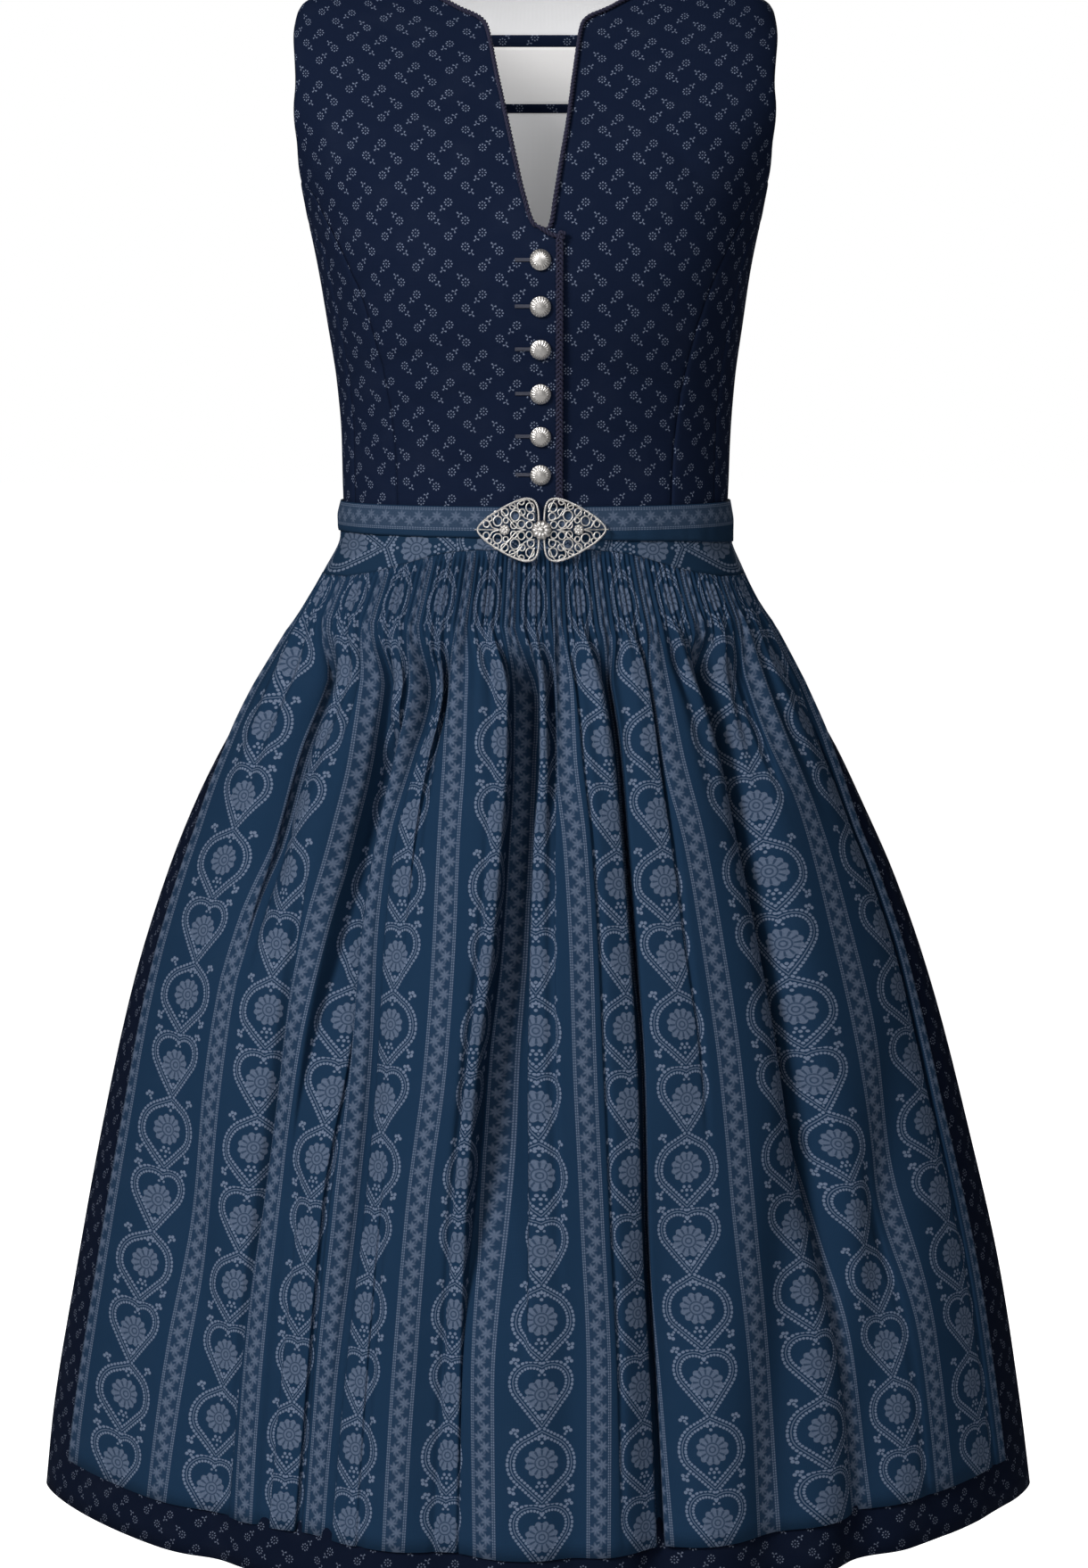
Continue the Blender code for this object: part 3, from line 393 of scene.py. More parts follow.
# %% The heart and drop column
REPEAT = 82.6
DROP_MIDDLE, DROP_FOOT, HEART_TOP, HEART_MIDDLE = -21.3, -43.8, -44.2, -56.0
ROSETTES, ROSETTE_SIZE = (20.2, 63.4), 9.3
SPROUTS = [(13.2, -4.6, 0.55, 0.83), (14.6, -34.0, 0.60, -0.80), (13.6, -46.8, 0.60, 0.80)]
DOTS = [(0.0, -4.6, 0.9), (1.7, -6.4, 0.85), (0.0, -8.6, 0.9), (1.6, -31.6, 0.9), (0.0, -33.6, 0.9),
        (2.8, -33.8, 0.8), (0.0, -36.6, 0.8), (0.0, -50.4, 0.9), (1.5, -52.0, 0.7), (0.0, -75.2, 0.9),
        (1.8, -76.4, 0.8)]


def heart_print(over, down):
    """One repeat holds a drop above a heart. over is counted from the column's middle."""
    x = abs(over)
    y = (down - REPEAT / 2).wrap(REPEAT) * -1.0 - REPEAT / 2
    shoulder = bowed(x, y * -1.0, 0.9, 20.9, 16.0, 60.0) * spot(DROP_MIDDLE - y, 0.0)
    point = bowed(x, y, 5.2, -21.6, 11.7, 45.0) * spot(y - DROP_MIDDLE, 0.0) * spot(DROP_FOOT - y, 0.0)
    lobe_x, lobe_y = x - 5.6, y - HEART_MIDDLE
    lobe = lace(far(lobe_x, lobe_y) - 10.0, bearing(lobe_x, lobe_y) * 10.0) * spot(HEART_MIDDLE - y, 0.0)
    lobe = lobe * spot(y - HEART_TOP, 0.0)
    foot = bowed(x, y, 2.6, HEART_MIDDLE, 13.0, 36.0) * spot(y - HEART_MIDDLE, 0.0)
    inks = [shoulder, point, lobe, foot] + [rosette(x, y + down_to, ROSETTE_SIZE) for down_to in ROSETTES]
    inks += [sprout(x, y, *row) for row in SPROUTS] + [dot(x, y, *row) for row in DOTS]
    return together(inks)


# %% [markdown]
# Every finish mixes two colours, reads a noise, and tilts the light with a fine bump. A helper
# for each of these keeps the materials short and alike.

# %% Helpers for the finishes
def new_finish(name, rough):
    """A material, its node tree and its shader."""
    material = bpy.data.materials.new(name)
    material.use_nodes = True
    shader = material.node_tree.nodes["Principled BSDF"]
    shader.inputs["Roughness"].default_value = rough
    return material, material.node_tree, shader


def noise_of(tree, places, scale):
    """A noise that is read from a socket of places."""
    noise = tree.nodes.new("ShaderNodeTexNoise")
    noise.inputs["Scale"].default_value = scale
    tree.links.new(places, noise.inputs["Vector"])
    return Sum(tree, noise.outputs["Fac"])


def mix_colours(tree, first, second, share):
    """The base colour runs from the first colour to the second with the share."""
    mix = tree.nodes.new("ShaderNodeMix")
    mix.data_type = "RGBA"
    mix.inputs["A"].default_value = (*first, 1.0)
    mix.inputs["B"].default_value = (*second, 1.0)
    tree.links.new(share.socket, mix.inputs["Factor"])
    tree.links.new(mix.outputs["Result"], tree.nodes["Principled BSDF"].inputs["Base Color"])


def tilt_light(tree, height, strength, distance):
    """A bump, for relief that is too fine to model."""
    bump = tree.nodes.new("ShaderNodeBump")
    bump.inputs["Strength"].default_value = strength
    bump.inputs["Distance"].default_value = distance
    tree.links.new(height.socket, bump.inputs["Height"])
    tree.links.new(bump.outputs["Normal"], tree.nodes["Principled BSDF"].inputs["Normal"])


# %% [markdown]
# A cotton surface is matt with a trace of sheen. Its weave is too fine to model, so the
# material tilts the light with a small crossed ripple, and a broad noise makes the dye uneven.
# The lining and what is sewn to it lie in shade, so an emission paints light on them, more towards the neck.

# %% Printed and plain cotton
FLECK_SCALE, PATCH_SCALE, THREAD_PITCH = 900.0, 35.0, 0.7
PAINTED_LIGHT_FROM, PAINTED_LIGHT_RISE = 215.0, 0.00160


def cloth_finish(name, ground, ink_colour, pattern=None, strength=1.0, painted_light=0.0):
    """Cotton, which reads the cloth's own millimetres. glow is the strength of its painted light, an
    emission, at PAINTED_LIGHT_FROM.
    """
    material, tree, shader = new_finish(name, 0.86)
    shader.inputs["Specular IOR Level"].default_value = 0.04
    shader.inputs["Emission Color"].default_value = (1.0, 1.0, 1.0, 1.0)
    where = tree.nodes.new("ShaderNodeUVMap")
    where.uv_map = "cloth"
    split = tree.nodes.new("ShaderNodeSeparateXYZ")
    tree.links.new(where.outputs["UV"], split.inputs[0])
    x, y = (Sum(tree, split.outputs[axis]) * 1000.0 for axis in "XY")
    # Painted light: an emission that stands in for light falling on the cloth, rising towards the neck.
    if painted_light:
        lit = y * PAINTED_LIGHT_RISE + (painted_light - PAINTED_LIGHT_FROM * PAINTED_LIGHT_RISE)
        tree.links.new(lit.most(0.0).socket, shader.inputs["Emission Strength"])
    fleck = noise_of(tree, where.outputs["UV"], FLECK_SCALE)
    ink = (noise_of(tree, where.outputs["UV"], PATCH_SCALE) - 0.5) * 0.03
    if pattern:
        ink = pattern(x, y) * (fleck * 0.6 + 0.45) * strength + ink
    mix_colours(tree, ground, ink_colour, ink.node("MAXIMUM", ink, 0.0, clamp=True))
    tilt_light(tree, x.sine(THREAD_PITCH) + y.sine(THREAD_PITCH) + fleck * 1.5, 0.25, 0.00012)
    return material


# %% [markdown]
# The apron, its band and its ties are one printed cotton, cut in different directions. The
# bodice and the skirt are a darker cotton with the sprig print, and the lining is plain.

# %% The cloths
TIE_PRINT_UP = 1.0
INK = (0.285, 0.350, 0.490)


def apron_pattern(x, y):
    """Hearts and drops in wide columns, with a border stripe between them."""
    stripe = x.wrap(COLUMN)
    heart = (x - COLUMN / 2).wrap(COLUMN)
    down = y * -1.0
    inside = spot(abs(stripe), STRIPE_HALF, 0.4)
    return together([heart_print(heart, down) * (1.0 - inside), stripe_print(stripe, down), inside * 0.05])


def tie_pattern(x, y):
    """The border stripe runs along the tie, over a plain strip."""
    over = y - TIE_PRINT_UP
    inside = spot(abs(over), STRIPE_HALF, 0.4)
    return (stripe_print(over, x) * inside).most(inside * 0.16)


def yoke_pattern(x, y):
    """The heart column lies on its side round the hips."""
    return heart_print(y * -1.0, x)


APRON = cloth_finish("blue apron cotton", (0.0135, 0.0400, 0.0880), INK, apron_pattern, 0.82)
TIE = cloth_finish("apron tie", (0.0150, 0.0400, 0.0840), INK, tie_pattern, 0.75)
YOKE = cloth_finish("apron yoke", (0.0135, 0.0380, 0.0800), INK, yoke_pattern, 0.82)
BODICE = cloth_finish("dark bodice cotton", (0.0084, 0.0152, 0.0400), (0.36, 0.43, 0.60),
                      sprig_print, 0.78)
SKIRT = cloth_finish("dark skirt cotton", (0.0052, 0.0095, 0.0250), (0.33, 0.39, 0.54),
                     sprig_print, 0.64)
# The lining and the label get painted light, an emission that stands in for the light reaching them.
LINING = cloth_finish("pale lining", (0.80, 0.80, 0.82), (0.70, 0.70, 0.72), painted_light=0.17)
LABEL = cloth_finish("bare woven label", (0.66, 0.64, 0.63), (0.55, 0.55, 0.55), painted_light=0.20)
print("materials", [m.name for m in (APRON, TIE, YOKE, BODICE, SKIRT, LINING, LABEL)])

# %% [markdown]
# The cords are dull thread and the fittings are old silver, which is not quite even. Neither has
# a cloth of its own to read, so both take their noise from the object's own place.

# %% Cord and metal
def plain_finish(name, colour, rough, metal, grain, depth, scale):
    """A finish on the object's own place, with a fine noise that tilts the light."""
    material, tree, shader = new_finish(name, rough)
    shader.inputs["Metallic"].default_value = metal
    if metal == 0.0:
        shader.inputs["Specular IOR Level"].default_value = 0.15
    noise = noise_of(tree, tree.nodes.new("ShaderNodeTexCoord").outputs["Object"], scale)
    mix_colours(tree, [c * (1 - grain) for c in colour], [min(c * (1 + grain), 1.0) for c in colour], noise)
    tilt_light(tree, noise, 0.3, depth)
    return material


CORD = plain_finish("dark twisted cord", (0.034, 0.034, 0.066), 0.7, 0.0, 0.35, 0.0002, 1500.0)
THREAD = plain_finish("grey buttonhole thread", (0.085, 0.090, 0.120), 0.9, 0.0, 0.3, 0.0002, 2500.0)
SILVER = plain_finish("old silver", (0.80, 0.77, 0.74), 0.40, 1.0, 0.20, 0.00008, 600.0)
print("more materials", [m.name for m in (CORD, THREAD, SILVER)])

# %% [markdown]
# Each finished piece rides the body, takes its material and stands in for its plain CAD node.
# One function does this for cloth, cords and metal alike, so that none is forgotten.


def linked(name, data):
    """An object in the scene for a mesh, a curve, a lamp or a camera."""
    made = bpy.data.objects.new(name, data)
    bpy.context.scene.collection.objects.link(made)
    return made


def mesh_of(name, bm):
    """The mesh of a bmesh, which is then freed."""
    mesh = bpy.data.meshes.new(name)
    bm.to_mesh(mesh)
    bm.free()
    return mesh


def finish_piece(made, node, material):
    """Rides the body, stands for its CAD node and takes its material."""
    made.data.materials.clear()
    made.data.materials.append(material)
    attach(made, "root")
    if node:
        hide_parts(node)


# %% [markdown]
# Every piece of cloth starts as a flat grid. Each point of the grid has two shares, across and
# up, and from these come its place on the figure and its place on the cloth, which the
# print reads. A wall is added inwards, because a real edge shows its thickness.

# %% Cutting a piece of cloth
def across_and_up(mesh, columns, rows):
    """Whole numbers of the column and row of every point of a grid."""
    flat = np.empty(len(mesh.vertices) * 3)
    mesh.vertices.foreach_get("co", flat)
    flat = flat.reshape(-1, 3)
    return (np.rint((flat[:, 0] + 1) / 2 * columns).astype(int),
            np.rint((flat[:, 1] + 1) / 2 * rows).astype(int))


def cut_cloth(name, columns, rows, place, cut, node, material, wall=0.0008):
    """A sheet from a grid. place and cut give points and cloth lengths from grid numbers."""
    bm = bmesh.new()
    bmesh.ops.create_grid(bm, x_segments=columns, y_segments=rows, size=1.0)
    mesh = mesh_of(name, bm)
    i, j = across_and_up(mesh, columns, rows)
    mesh.vertices.foreach_set("co", place(i, j).astype(np.float32).ravel())
    layer = mesh.uv_layers.new(name="cloth")
    corners = np.empty(len(mesh.loops), int)
    mesh.loops.foreach_get("vertex_index", corners)
    layer.data.foreach_set("uv", cut(i, j)[corners].astype(np.float32).ravel())
    mesh.shade_smooth()
    made = linked(name, mesh)
    thick = made.modifiers.new("wall", "SOLIDIFY")
    thick.thickness = wall
    thick.offset = -1.0
    finish_piece(made, node, material)


# %% [markdown]
# The bodice is cut in panels that meet at curved seams. Each panel lies between four edges that
# were measured on the photograph or, at the back, follow the usual cut.

# %% Edges of the bodice panels
Seam = namedtuple("Seam", "z princess side")
SEAMS = [
    Seam(-0.345, 0.0830, 0.1110), Seam(-0.333, 0.0831, 0.1110), Seam(-0.318, 0.0834, 0.1110),
    Seam(-0.290, 0.0843, 0.1110), Seam(-0.262, 0.0873, 0.1120), Seam(-0.235, 0.0925, 0.1145),
    Seam(-0.208, 0.1000, 0.1190), Seam(-0.185, 0.1090, 0.1235), Seam(-0.163, 0.1200, 0.1300),
    Seam(-0.150, 0.1270, 0.1290), Seam(-0.140, 0.1320, 0.1310),
]
BackSeam = namedtuple("BackSeam", "z back")
BACK_SEAM = [
    BackSeam(-0.345, 0.0400), BackSeam(-0.333, 0.0402), BackSeam(-0.318, 0.0406),
    BackSeam(-0.290, 0.0420), BackSeam(-0.262, 0.0455), BackSeam(-0.235, 0.0515),
    BackSeam(-0.208, 0.0600), BackSeam(-0.182, 0.0705), BackSeam(-0.160, 0.0820),
    BackSeam(-0.140, 0.0950), BackSeam(-0.122, 0.1100),
]
ARMHOLE_FRONT = [(0.800, -0.130), (0.735, -0.105), (0.720, -0.080), (0.770, -0.055),
                 (0.880, -0.036), (0.955, -0.027), (1.0, -0.022)]
ARMHOLE_UNDER = [(0.80, -0.130), (0.86, -0.145), (0.93, -0.153), (1.00, -0.157), (1.07, -0.153),
                 (1.14, -0.145), (1.20, -0.130), (1.24, -0.118), (1.26, -0.105)]
ARMHOLE_BACK = [(1.26, -0.105), (1.275, -0.080), (1.23, -0.055), (1.12, -0.036), (1.045, -0.027),
                (1.0, -0.022)]
SIDE_SEAM_AT = 2
SLIT_END = -0.1635
SLIT_RIGHT = [(0.0020, -0.1605), (-0.0050, -0.1430), (-0.0100, -0.1220), (-0.0148, -0.1000),
              (-0.0205, -0.0740), (-0.0288, -0.0390)]
SLIT_LEFT = [(0.0080, -0.1608), (0.0117, -0.1430), (0.0152, -0.1220), (0.0190, -0.1000),
             (0.0224, -0.0740), (0.0285, -0.0390)]
NECKLINE = [(0.0440, -0.0300), (0.0650, -0.0180), (0.0820, 0.0)]
PLACKET_EDGE, UNDERLAP_EDGE = 0.0168, -0.0100
BACK_NECKLINE = [(1.0, -0.022), (1.0, -0.011), (1.0, 0.0), (1.14, -0.0030), (1.38, -0.0062),
                 (1.68, -0.0090), (2.0, -0.0100)]
PLACKET_LIFT = 0.0019


def placket_lift(x):
    """How far the right front stands out where it lies on the left front."""
    return PLACKET_LIFT * smooth((x + 0.031) / 0.018) * smooth((0.036 - x) / 0.016)


def below_slit(z):
    return smooth((-0.150 - z) / 0.012)


# %% [markdown]
# A panel is read between its four edges: straight across from seam to seam, and bent near its
# bottom and top so that those edges are met. Lengths of cloth are measured over the figure, so
# that the print is neither stretched nor squeezed.

# %% Reading a panel between its edges
DROPS = np.linalg.norm(np.diff(POINTS, axis=0, prepend=POINTS[:1]), axis=2, keepdims=True)
DOWN = np.cumsum(DROPS, axis=0)


def up_from_waist(around, z):
    """Length of cloth up from the waist, over the figure."""
    return (look(DOWN, around, np.full(np.shape(z), WAIST)) - look(DOWN, around, z))[..., 0]


def read(edge, share):
    """Places along an edge, at shares of its count of points."""
    edge = np.array(edge, float)
    steps = np.linspace(0.0, 1.0, len(edge))
    return np.stack([cubic(steps, edge[:, 0], share), cubic(steps, edge[:, 1], share)], axis=-1)


def between(edges, s, t):
    """Places between four edges. Rows run straight from side to side, except near top and bottom."""
    bottom, top, start, end = edges
    s_, t_ = s[:, None], t[:, None]
    low = read(bottom, s) - (1 - s_) * np.array(bottom[0]) - s_ * np.array(bottom[-1])
    high = read(top, s) - (1 - s_) * np.array(top[0]) - s_ * np.array(top[-1])
    return (1 - s_) * read(start, t) + s_ * read(end, t) + low * (1 - t_) ** 3 + high * t_ ** 3


def seam_line(column, side):
    face, table = ("back", BACK_SEAM) if column == "back" else ("front", SEAMS)
    return [(around_at(side * getattr(row, column), row.z, face), row.z) for row in table]


def waist_line(start, end, count):
    return [(start + (end - start) * i / count, WAIST) for i in range(count + 1)]


def on_side(turns, side):
    return [(side * around, z) for around, z in turns]


# %% [markdown]
# Worn cotton is never quite smooth. A few short creases, placed where the bodice
# pulls between bust and waist, are soft troughs a few centimetres long. A pressed seam
# sinks a little, so each panel dips towards its seams.

# %% Creases and pressed seams
Crease = namedtuple("Crease", "x z slope length width depth")
CREASES = [
    Crease(-0.075, -0.236, 0.25, 0.024, 0.0040, 0.0009),
    Crease(-0.060, -0.262, 0.15, 0.030, 0.0045, 0.0008),
    Crease(-0.048, -0.300, -0.10, 0.026, 0.0040, 0.0007),
    Crease(0.066, -0.250, -0.30, 0.028, 0.0045, 0.0010),
    Crease(0.052, -0.282, -0.15, 0.030, 0.0040, 0.0008),
    Crease(0.085, -0.212, -0.50, 0.022, 0.0045, 0.0008),
    Crease(-0.092, -0.120, 1.20, 0.022, 0.0050, 0.0010),
    Crease(0.090, -0.124, -1.10, 0.022, 0.0050, 0.0010),
    Crease(-0.098, -0.190, 0.60, 0.020, 0.0040, 0.0007),
    Crease(0.030, -0.316, 0.05, 0.024, 0.0030, 0.0006),
    Crease(-0.030, -0.322, 0.08, 0.026, 0.0030, 0.0006),
]


def creased(points):
    """Depth of the creases at these points of the front and, turned over, of the back."""
    depth = np.zeros(len(points))
    for crease in CREASES:
        x = np.where(points[:, 1] < 0, points[:, 0], 0.7 * points[:, 0] + 0.012)
        run = np.array([1.0, crease.slope]) / math.hypot(1.0, crease.slope)
        dx, dz = x - crease.x, points[:, 2] - crease.z
        along, off = dx * run[0] + dz * run[1], dz * run[0] - dx * run[1]
        trough = np.exp(-(off / crease.width) ** 2)
        ridge = 0.45 * np.exp(-((off - 2 * crease.width) / crease.width) ** 2)
        depth += crease.depth * np.exp(-(along / crease.length) ** 2) * (trough - ridge)
    return depth


def pressed(distance):
    return 0.0007 * np.exp(-(distance / 0.0016) ** 2)


# %% [markdown]
# A panel is sewn to its neighbours along its two sides, where it sinks with the pressed seam. It
# also reaches a hair past each seam, so that no lining shows between two panels. Each panel
# counts its print from the middle of the body's side on which it lies.

# %% A panel of the bodice
OVERLAP, PRINT_APART = 0.0003, 0.2


def panel(name, edges, columns, rows, node, material, lift=None, sink=0.0, seams=(1, 1),
          wall=0.0010, overlap=OVERLAP):
    """A panel between four edges. seams says whether its start and end edges are sewn."""
    middle = round(float(np.mean([around for around, _ in edges[0]])))

    def places(i, j):
        found = between(edges, i / columns, j / rows)
        return found[:, 0], found[:, 1]

    def place(i, j):
        around, z = places(i, j)
        points = on_figure(around, z)
        start = on_figure(*places(np.zeros_like(i), j))
        end = on_figure(*places(np.full_like(i, columns), j))
        sunk = [pressed(np.linalg.norm(points - edge, axis=1)) * sewn
                for edge, sewn in zip((start, end), seams)]
        out = -creased(points) - sink - sunk[0] - sunk[1]
        if lift:
            out = out + lift(around, z)
        side = (end - start) / np.maximum(np.linalg.norm(end - start, axis=1, keepdims=True), 1e-6)
        past = overlap * (i == columns) - overlap * (i == 0)
        return on_figure(around, z, out) + side * past[:, None]

    def cut(i, j):
        around, z = places(i, j)
        wide = np.where((around >= 0) & (around < 2), quarter_length(z, 1), quarter_length(z, -1))
        return np.stack([(around - middle) * wide + middle * PRINT_APART, up_from_waist(around, z)],
                        axis=-1)

    cut_cloth(name, columns, rows, place, cut, node, material, wall)


# %% [markdown]
# Each front runs from the curved seam to the placket. Its inner edge goes up the placket, the
# slit and the neckline to the shoulder. The right front lies on the left one, so it stands out
# where they lap.

# %% The two fronts
def front_edges(side, slit, placket_x):
    outer = seam_line("princess", side) + on_side(ARMHOLE_FRONT, side)
    low = [(placket_x, row.z) for row in SEAMS if row.z < SLIT_END - 0.01]
    opening = low + [(placket_x, SLIT_END)]
    opening += slit + [(side * x, z) for x, z in NECKLINE]
    inner = [(around_at(x, z), z) for x, z in opening]
    start, end = (outer, inner) if side < 0 else (inner, outer)
    return waist_line(start[0][0], end[0][0], 8), [start[-1], end[-1]], start, end


def right_front_lift(around, z):
    return placket_lift(on_figure(around, z)[:, 0]) * below_slit(z)


panel("right_front", front_edges(-1, SLIT_RIGHT, PLACKET_EDGE), 56, 110, "bodice_front_right",
      BODICE, right_front_lift, seams=(1, 0))
panel("left_front", front_edges(1, SLIT_LEFT, UNDERLAP_EDGE), 56, 110, "bodice_front_left",
      BODICE, seams=(0, 1))

# %% [markdown]
# The panels at the side and under the arm share their seams with the fronts and the back, so
# they are cut from the same tables. The lining is the same panel again, a little further in.

# %% Sides, underarms and their lining
def spread(line, count):
    """An edge read again at equal steps of height."""
    heights, places = [z for _, z in line], [around for around, _ in line]
    levels = np.linspace(heights[0], heights[-1], count + 1)
    return list(zip(cubic(heights, places, levels), levels))


LINING_SINK = 0.0017
for side, tag in ((-1, "right"), (1, "left")):
    princess = seam_line("princess", side) + on_side(ARMHOLE_UNDER[:1], side)
    under = on_side(ARMHOLE_UNDER, side)
    turn = under[SIDE_SEAM_AT]
    side_seam = spread([p for p in seam_line("side", side) if p[1] < turn[1] - 0.003] + [turn],
                       len(princess) - 1)
    back_seam = seam_line("back", side) + [under[-1]]
    near, far_edge = (princess, side_seam) if side > 0 else (side_seam, princess)
    top = under[:SIDE_SEAM_AT + 1][::side]
    panel(f"{tag}_side", (waist_line(near[0][0], far_edge[0][0], 3), top, near, far_edge), 16, 70,
          f"bodice_side_{tag}", BODICE)
    near, far_edge = (side_seam, back_seam) if side > 0 else (back_seam, side_seam)
    top = under[SIDE_SEAM_AT:][::side]
    edges = (waist_line(near[0][0], far_edge[0][0], 6), top, near, far_edge)
    panel(f"{tag}_underarm", edges, 36, 70, f"bodice_back_side_{tag}", BODICE)
    panel(f"{tag}_underarm_lining", edges, 20, 40, f"lining_back_side_{tag}", LINING,
          sink=LINING_SINK, seams=(0, 0), wall=0.0007)

# %% [markdown]
# The back is one panel between the two curved back seams, and is the same on both sides. So its
# left edge and half of its neckline are measured, and the rest is mirrored.

# %% The back
left = seam_line("back", 1) + ARMHOLE_BACK
right = [(4 - around, z) for around, z in left]
top = BACK_NECKLINE + [(4 - around, z) for around, z in BACK_NECKLINE[-2::-1]]
edges = (waist_line(left[0][0], right[0][0], len(top) - 1), top, left, right)
panel("back", edges, 84, 100, "bodice_back_centre", BODICE)
panel("back_lining", edges, 48, 60, "lining_back_centre", LINING, sink=LINING_SINK,
      seams=(0, 0), wall=0.0007)

# %% [markdown]
# Inside the back neck sits a plain woven label between two strips of the bodice cloth. All three
# are sewn down at their edges, so each puffs a little away from the lining between them.

# %% Label and its strips
LABEL_HALF, STRIP_SINK = 0.042, 0.0029


def inside_strip(name, low, high, rows, node, material, puff):
    start = [(around_at(LABEL_HALF, z, "back"), z) for z in (low, high)]
    end = [(4 - around, z) for around, z in start]
    bottom = [(start[0][0] + (end[0][0] - start[0][0]) * i / 6, low) for i in range(7)]
    top = [(around, high) for around, _ in bottom]

    def lift(around, z):
        middle = (z - low) / (high - low)
        return -puff * np.sin(np.clip(middle, 0, 1) * math.pi)

    panel(name, (bottom, top, start, end), 36, rows, node, material, lift=lift, sink=STRIP_SINK,
          seams=(0, 0), wall=0.0005, overlap=0.0)


inside_strip("label_lower_strip", -0.0790, -0.0735, 6, "label_strip_bottom", BODICE, 0.0004)
inside_strip("bare_label", -0.0732, -0.0393, 16, "label_panel", LABEL, 0.0006)
inside_strip("label_upper_strip", -0.0390, -0.0320, 6, "label_strip_top", BODICE, 0.0004)

# %% [markdown]
# The apron is one width of cloth, 71.5 cm, gathered to less than half at the waist in 99 tiny
# pleats. Lower down the same cloth hangs in folds. A fold hides cloth: where two printed
# columns that are 32.5 mm apart on the flat cloth show only 12 mm apart, 20 mm has
# gone into the valley between them. The table gives where each column was seen, as a
# share of the skirt's half width, and the valleys' depths follow from it.

# %% Where the printed columns hang
APRON_WIDTH = 0.715
APRON_HEM, GAUGING_END = -0.9400, -0.3950
GAUGING_PLEATS = 99
COLUMN_PLACES = [0.0, 0.5, 1.5, 2.0, 2.5, 3.0, 3.5, 4.0, 4.5, 5.0, 5.5, 6.0, 6.5, 7.5, 8.0, 8.5,
                 9.5, 10.0, 10.5, 11.0]
SEEN_AT = {
    -0.395: (-.945, -.785, -.687, -.592, -.496, -.398, -.300, -.200, -.100, .000, .097, .194, .392,
             .494, .594, .785, .875, .945),
    -0.430: (-.902, -.722, -.615, -.534, -.438, -.353, -.280, -.116, -.042, .035, .102, .233, .411,
             .462, .625, .754, .837, .940),
    -0.470: (-.873, -.693, -.561, -.509, -.438, -.348, -.248, -.096, -.048, .035, .099, .237, .390,
             .438, .620, .710, .805, .930),
    -0.520: (-.837, -.674, -.548, -.493, -.445, -.343, -.231, -.101, -.054, .012, .114, .231, .358,
             .449, .595, .672, .804, .920),
    -0.580: (-.833, -.646, -.562, -.476, -.429, -.336, -.219, -.113, -.065, .005, .116, .224, .339,
             .443, .583, .648, .786, .912),
    -0.650: (-.830, -.629, -.572, -.465, -.410, -.335, -.221, -.142, -.088, .007, .114, .216, .344,
             .442, .577, .644, .780, .906),
    -0.740: (-.816, -.624, -.575, -.482, -.410, -.340, -.247, -.160, -.100, .016, .120, .211, .324,
             .437, .567, .688, .771, .889),
    -0.840: (-.824, -.635, -.570, -.488, -.421, -.344, -.259, -.170, -.103, .015, .126, .213, .335,
             .444, .566, .719, .796, .885),
    -0.9703: (-.826, -.645, -.565, -.492, -.430, -.350, -.265, -.175, -.092, .014, .117, .215, .345,
              .445, .570, .725, .795, .885),
}
print("columns seen at", len(SEEN_AT), "levels")

# %% [markdown]
# Each row of the next table is one fold, from the right to the left: how wide its valley is,
# how much of the flat cloth comes before it, and how far its bottom leans. A heart column and
# a border stripe each lie sunk at the bottom of a wide fold, so they have depths of their own.

# %% The folds
Fold = namedtuple("Fold", "mouth start lean")
FOLDS = [Fold(*row) for row in (
    (.005, 0.5, .002), (.009, 0.7, -.004), (.006, 0.4, .003), (.009, 0.5, .003), (.004, 0.5, -.002),
    (.009, 0.2, .004), (.005, 0.2, -.003), (.003, 0.8, .002), (.001, 0.3, .001), (.001, 0.75, .002),
    (.005, 0.25, .003), (.003, 0.5, -.003), (.0045, 0.2, .003), (.003, 0.42, -.002), (.007, 0.5, .004),
    (.011, 0.4, -.005), (.006, 0.5, .004), (.004, 0.5, -.003), (.004, 0.5, .003))]
Sunk = namedtuple("Sunk", "depth top foot")
SUNK = {4: Sunk(0.0180, -0.440, -0.74), 9: Sunk(0.0320, -0.398, -0.84)}


def recess(k, z):
    """How far in the column number k lies at this height."""
    if k not in SUNK:
        return 0.0
    sunk = SUNK[k]
    return sunk.depth * float(smooth((sunk.top - z) / 0.03) * smooth((z - sunk.foot) / 0.16))


APRON_EDGE = [(-0.3450, 0.985), (-0.4400, 0.985), (-0.4800, 0.930), (-0.5300, 0.905),
              (-0.6000, 0.905), (-0.7000, 0.893), (-0.9703, 0.893)]


def apron_edge(z):
    rows = sorted(APRON_EDGE)
    return np.interp(z, [row[0] for row in rows], [row[1] for row in rows])


def half_width(z, side):
    name = "left" if side > 0 else "right"
    return float(np.interp(-z, -LEVELS, CURVE[name]))


def anchors():
    """For each level of the table, the columns' distances round the figure from its centre."""
    rows = []
    for z in sorted(SEEN_AT):
        quarter = {side: float(quarter_length(z, side)) for side in (-1, 1)}
        middle = []
        for share in SEEN_AT[z]:
            side = 1 if share >= 0 else -1
            middle.append(around_at(share * half_width(z, side), z) * quarter[side])
        rows.append([-apron_edge(z) * quarter[-1], *middle, apron_edge(z) * quarter[1]])
    return sorted(SEEN_AT), np.array(rows)


# %% [markdown]
# Between two seen columns the cloth lies flat, turns in down a nearly upright wall, crosses the
# bottom of the valley and comes out again. A broad soft roll beside each main fold sinks the
# cloth round it. A running mean along the row rounds every edge, as stiff cotton does.

# %% Folds from hidden cloth
ROLL, ROLL_CAP, ROLL_REACH = 0.80, 0.0125, 0.0140
MAIN_MOUTH, LEAST_SPAN, FULL_LEAN = 0.009, 0.004, 0.010


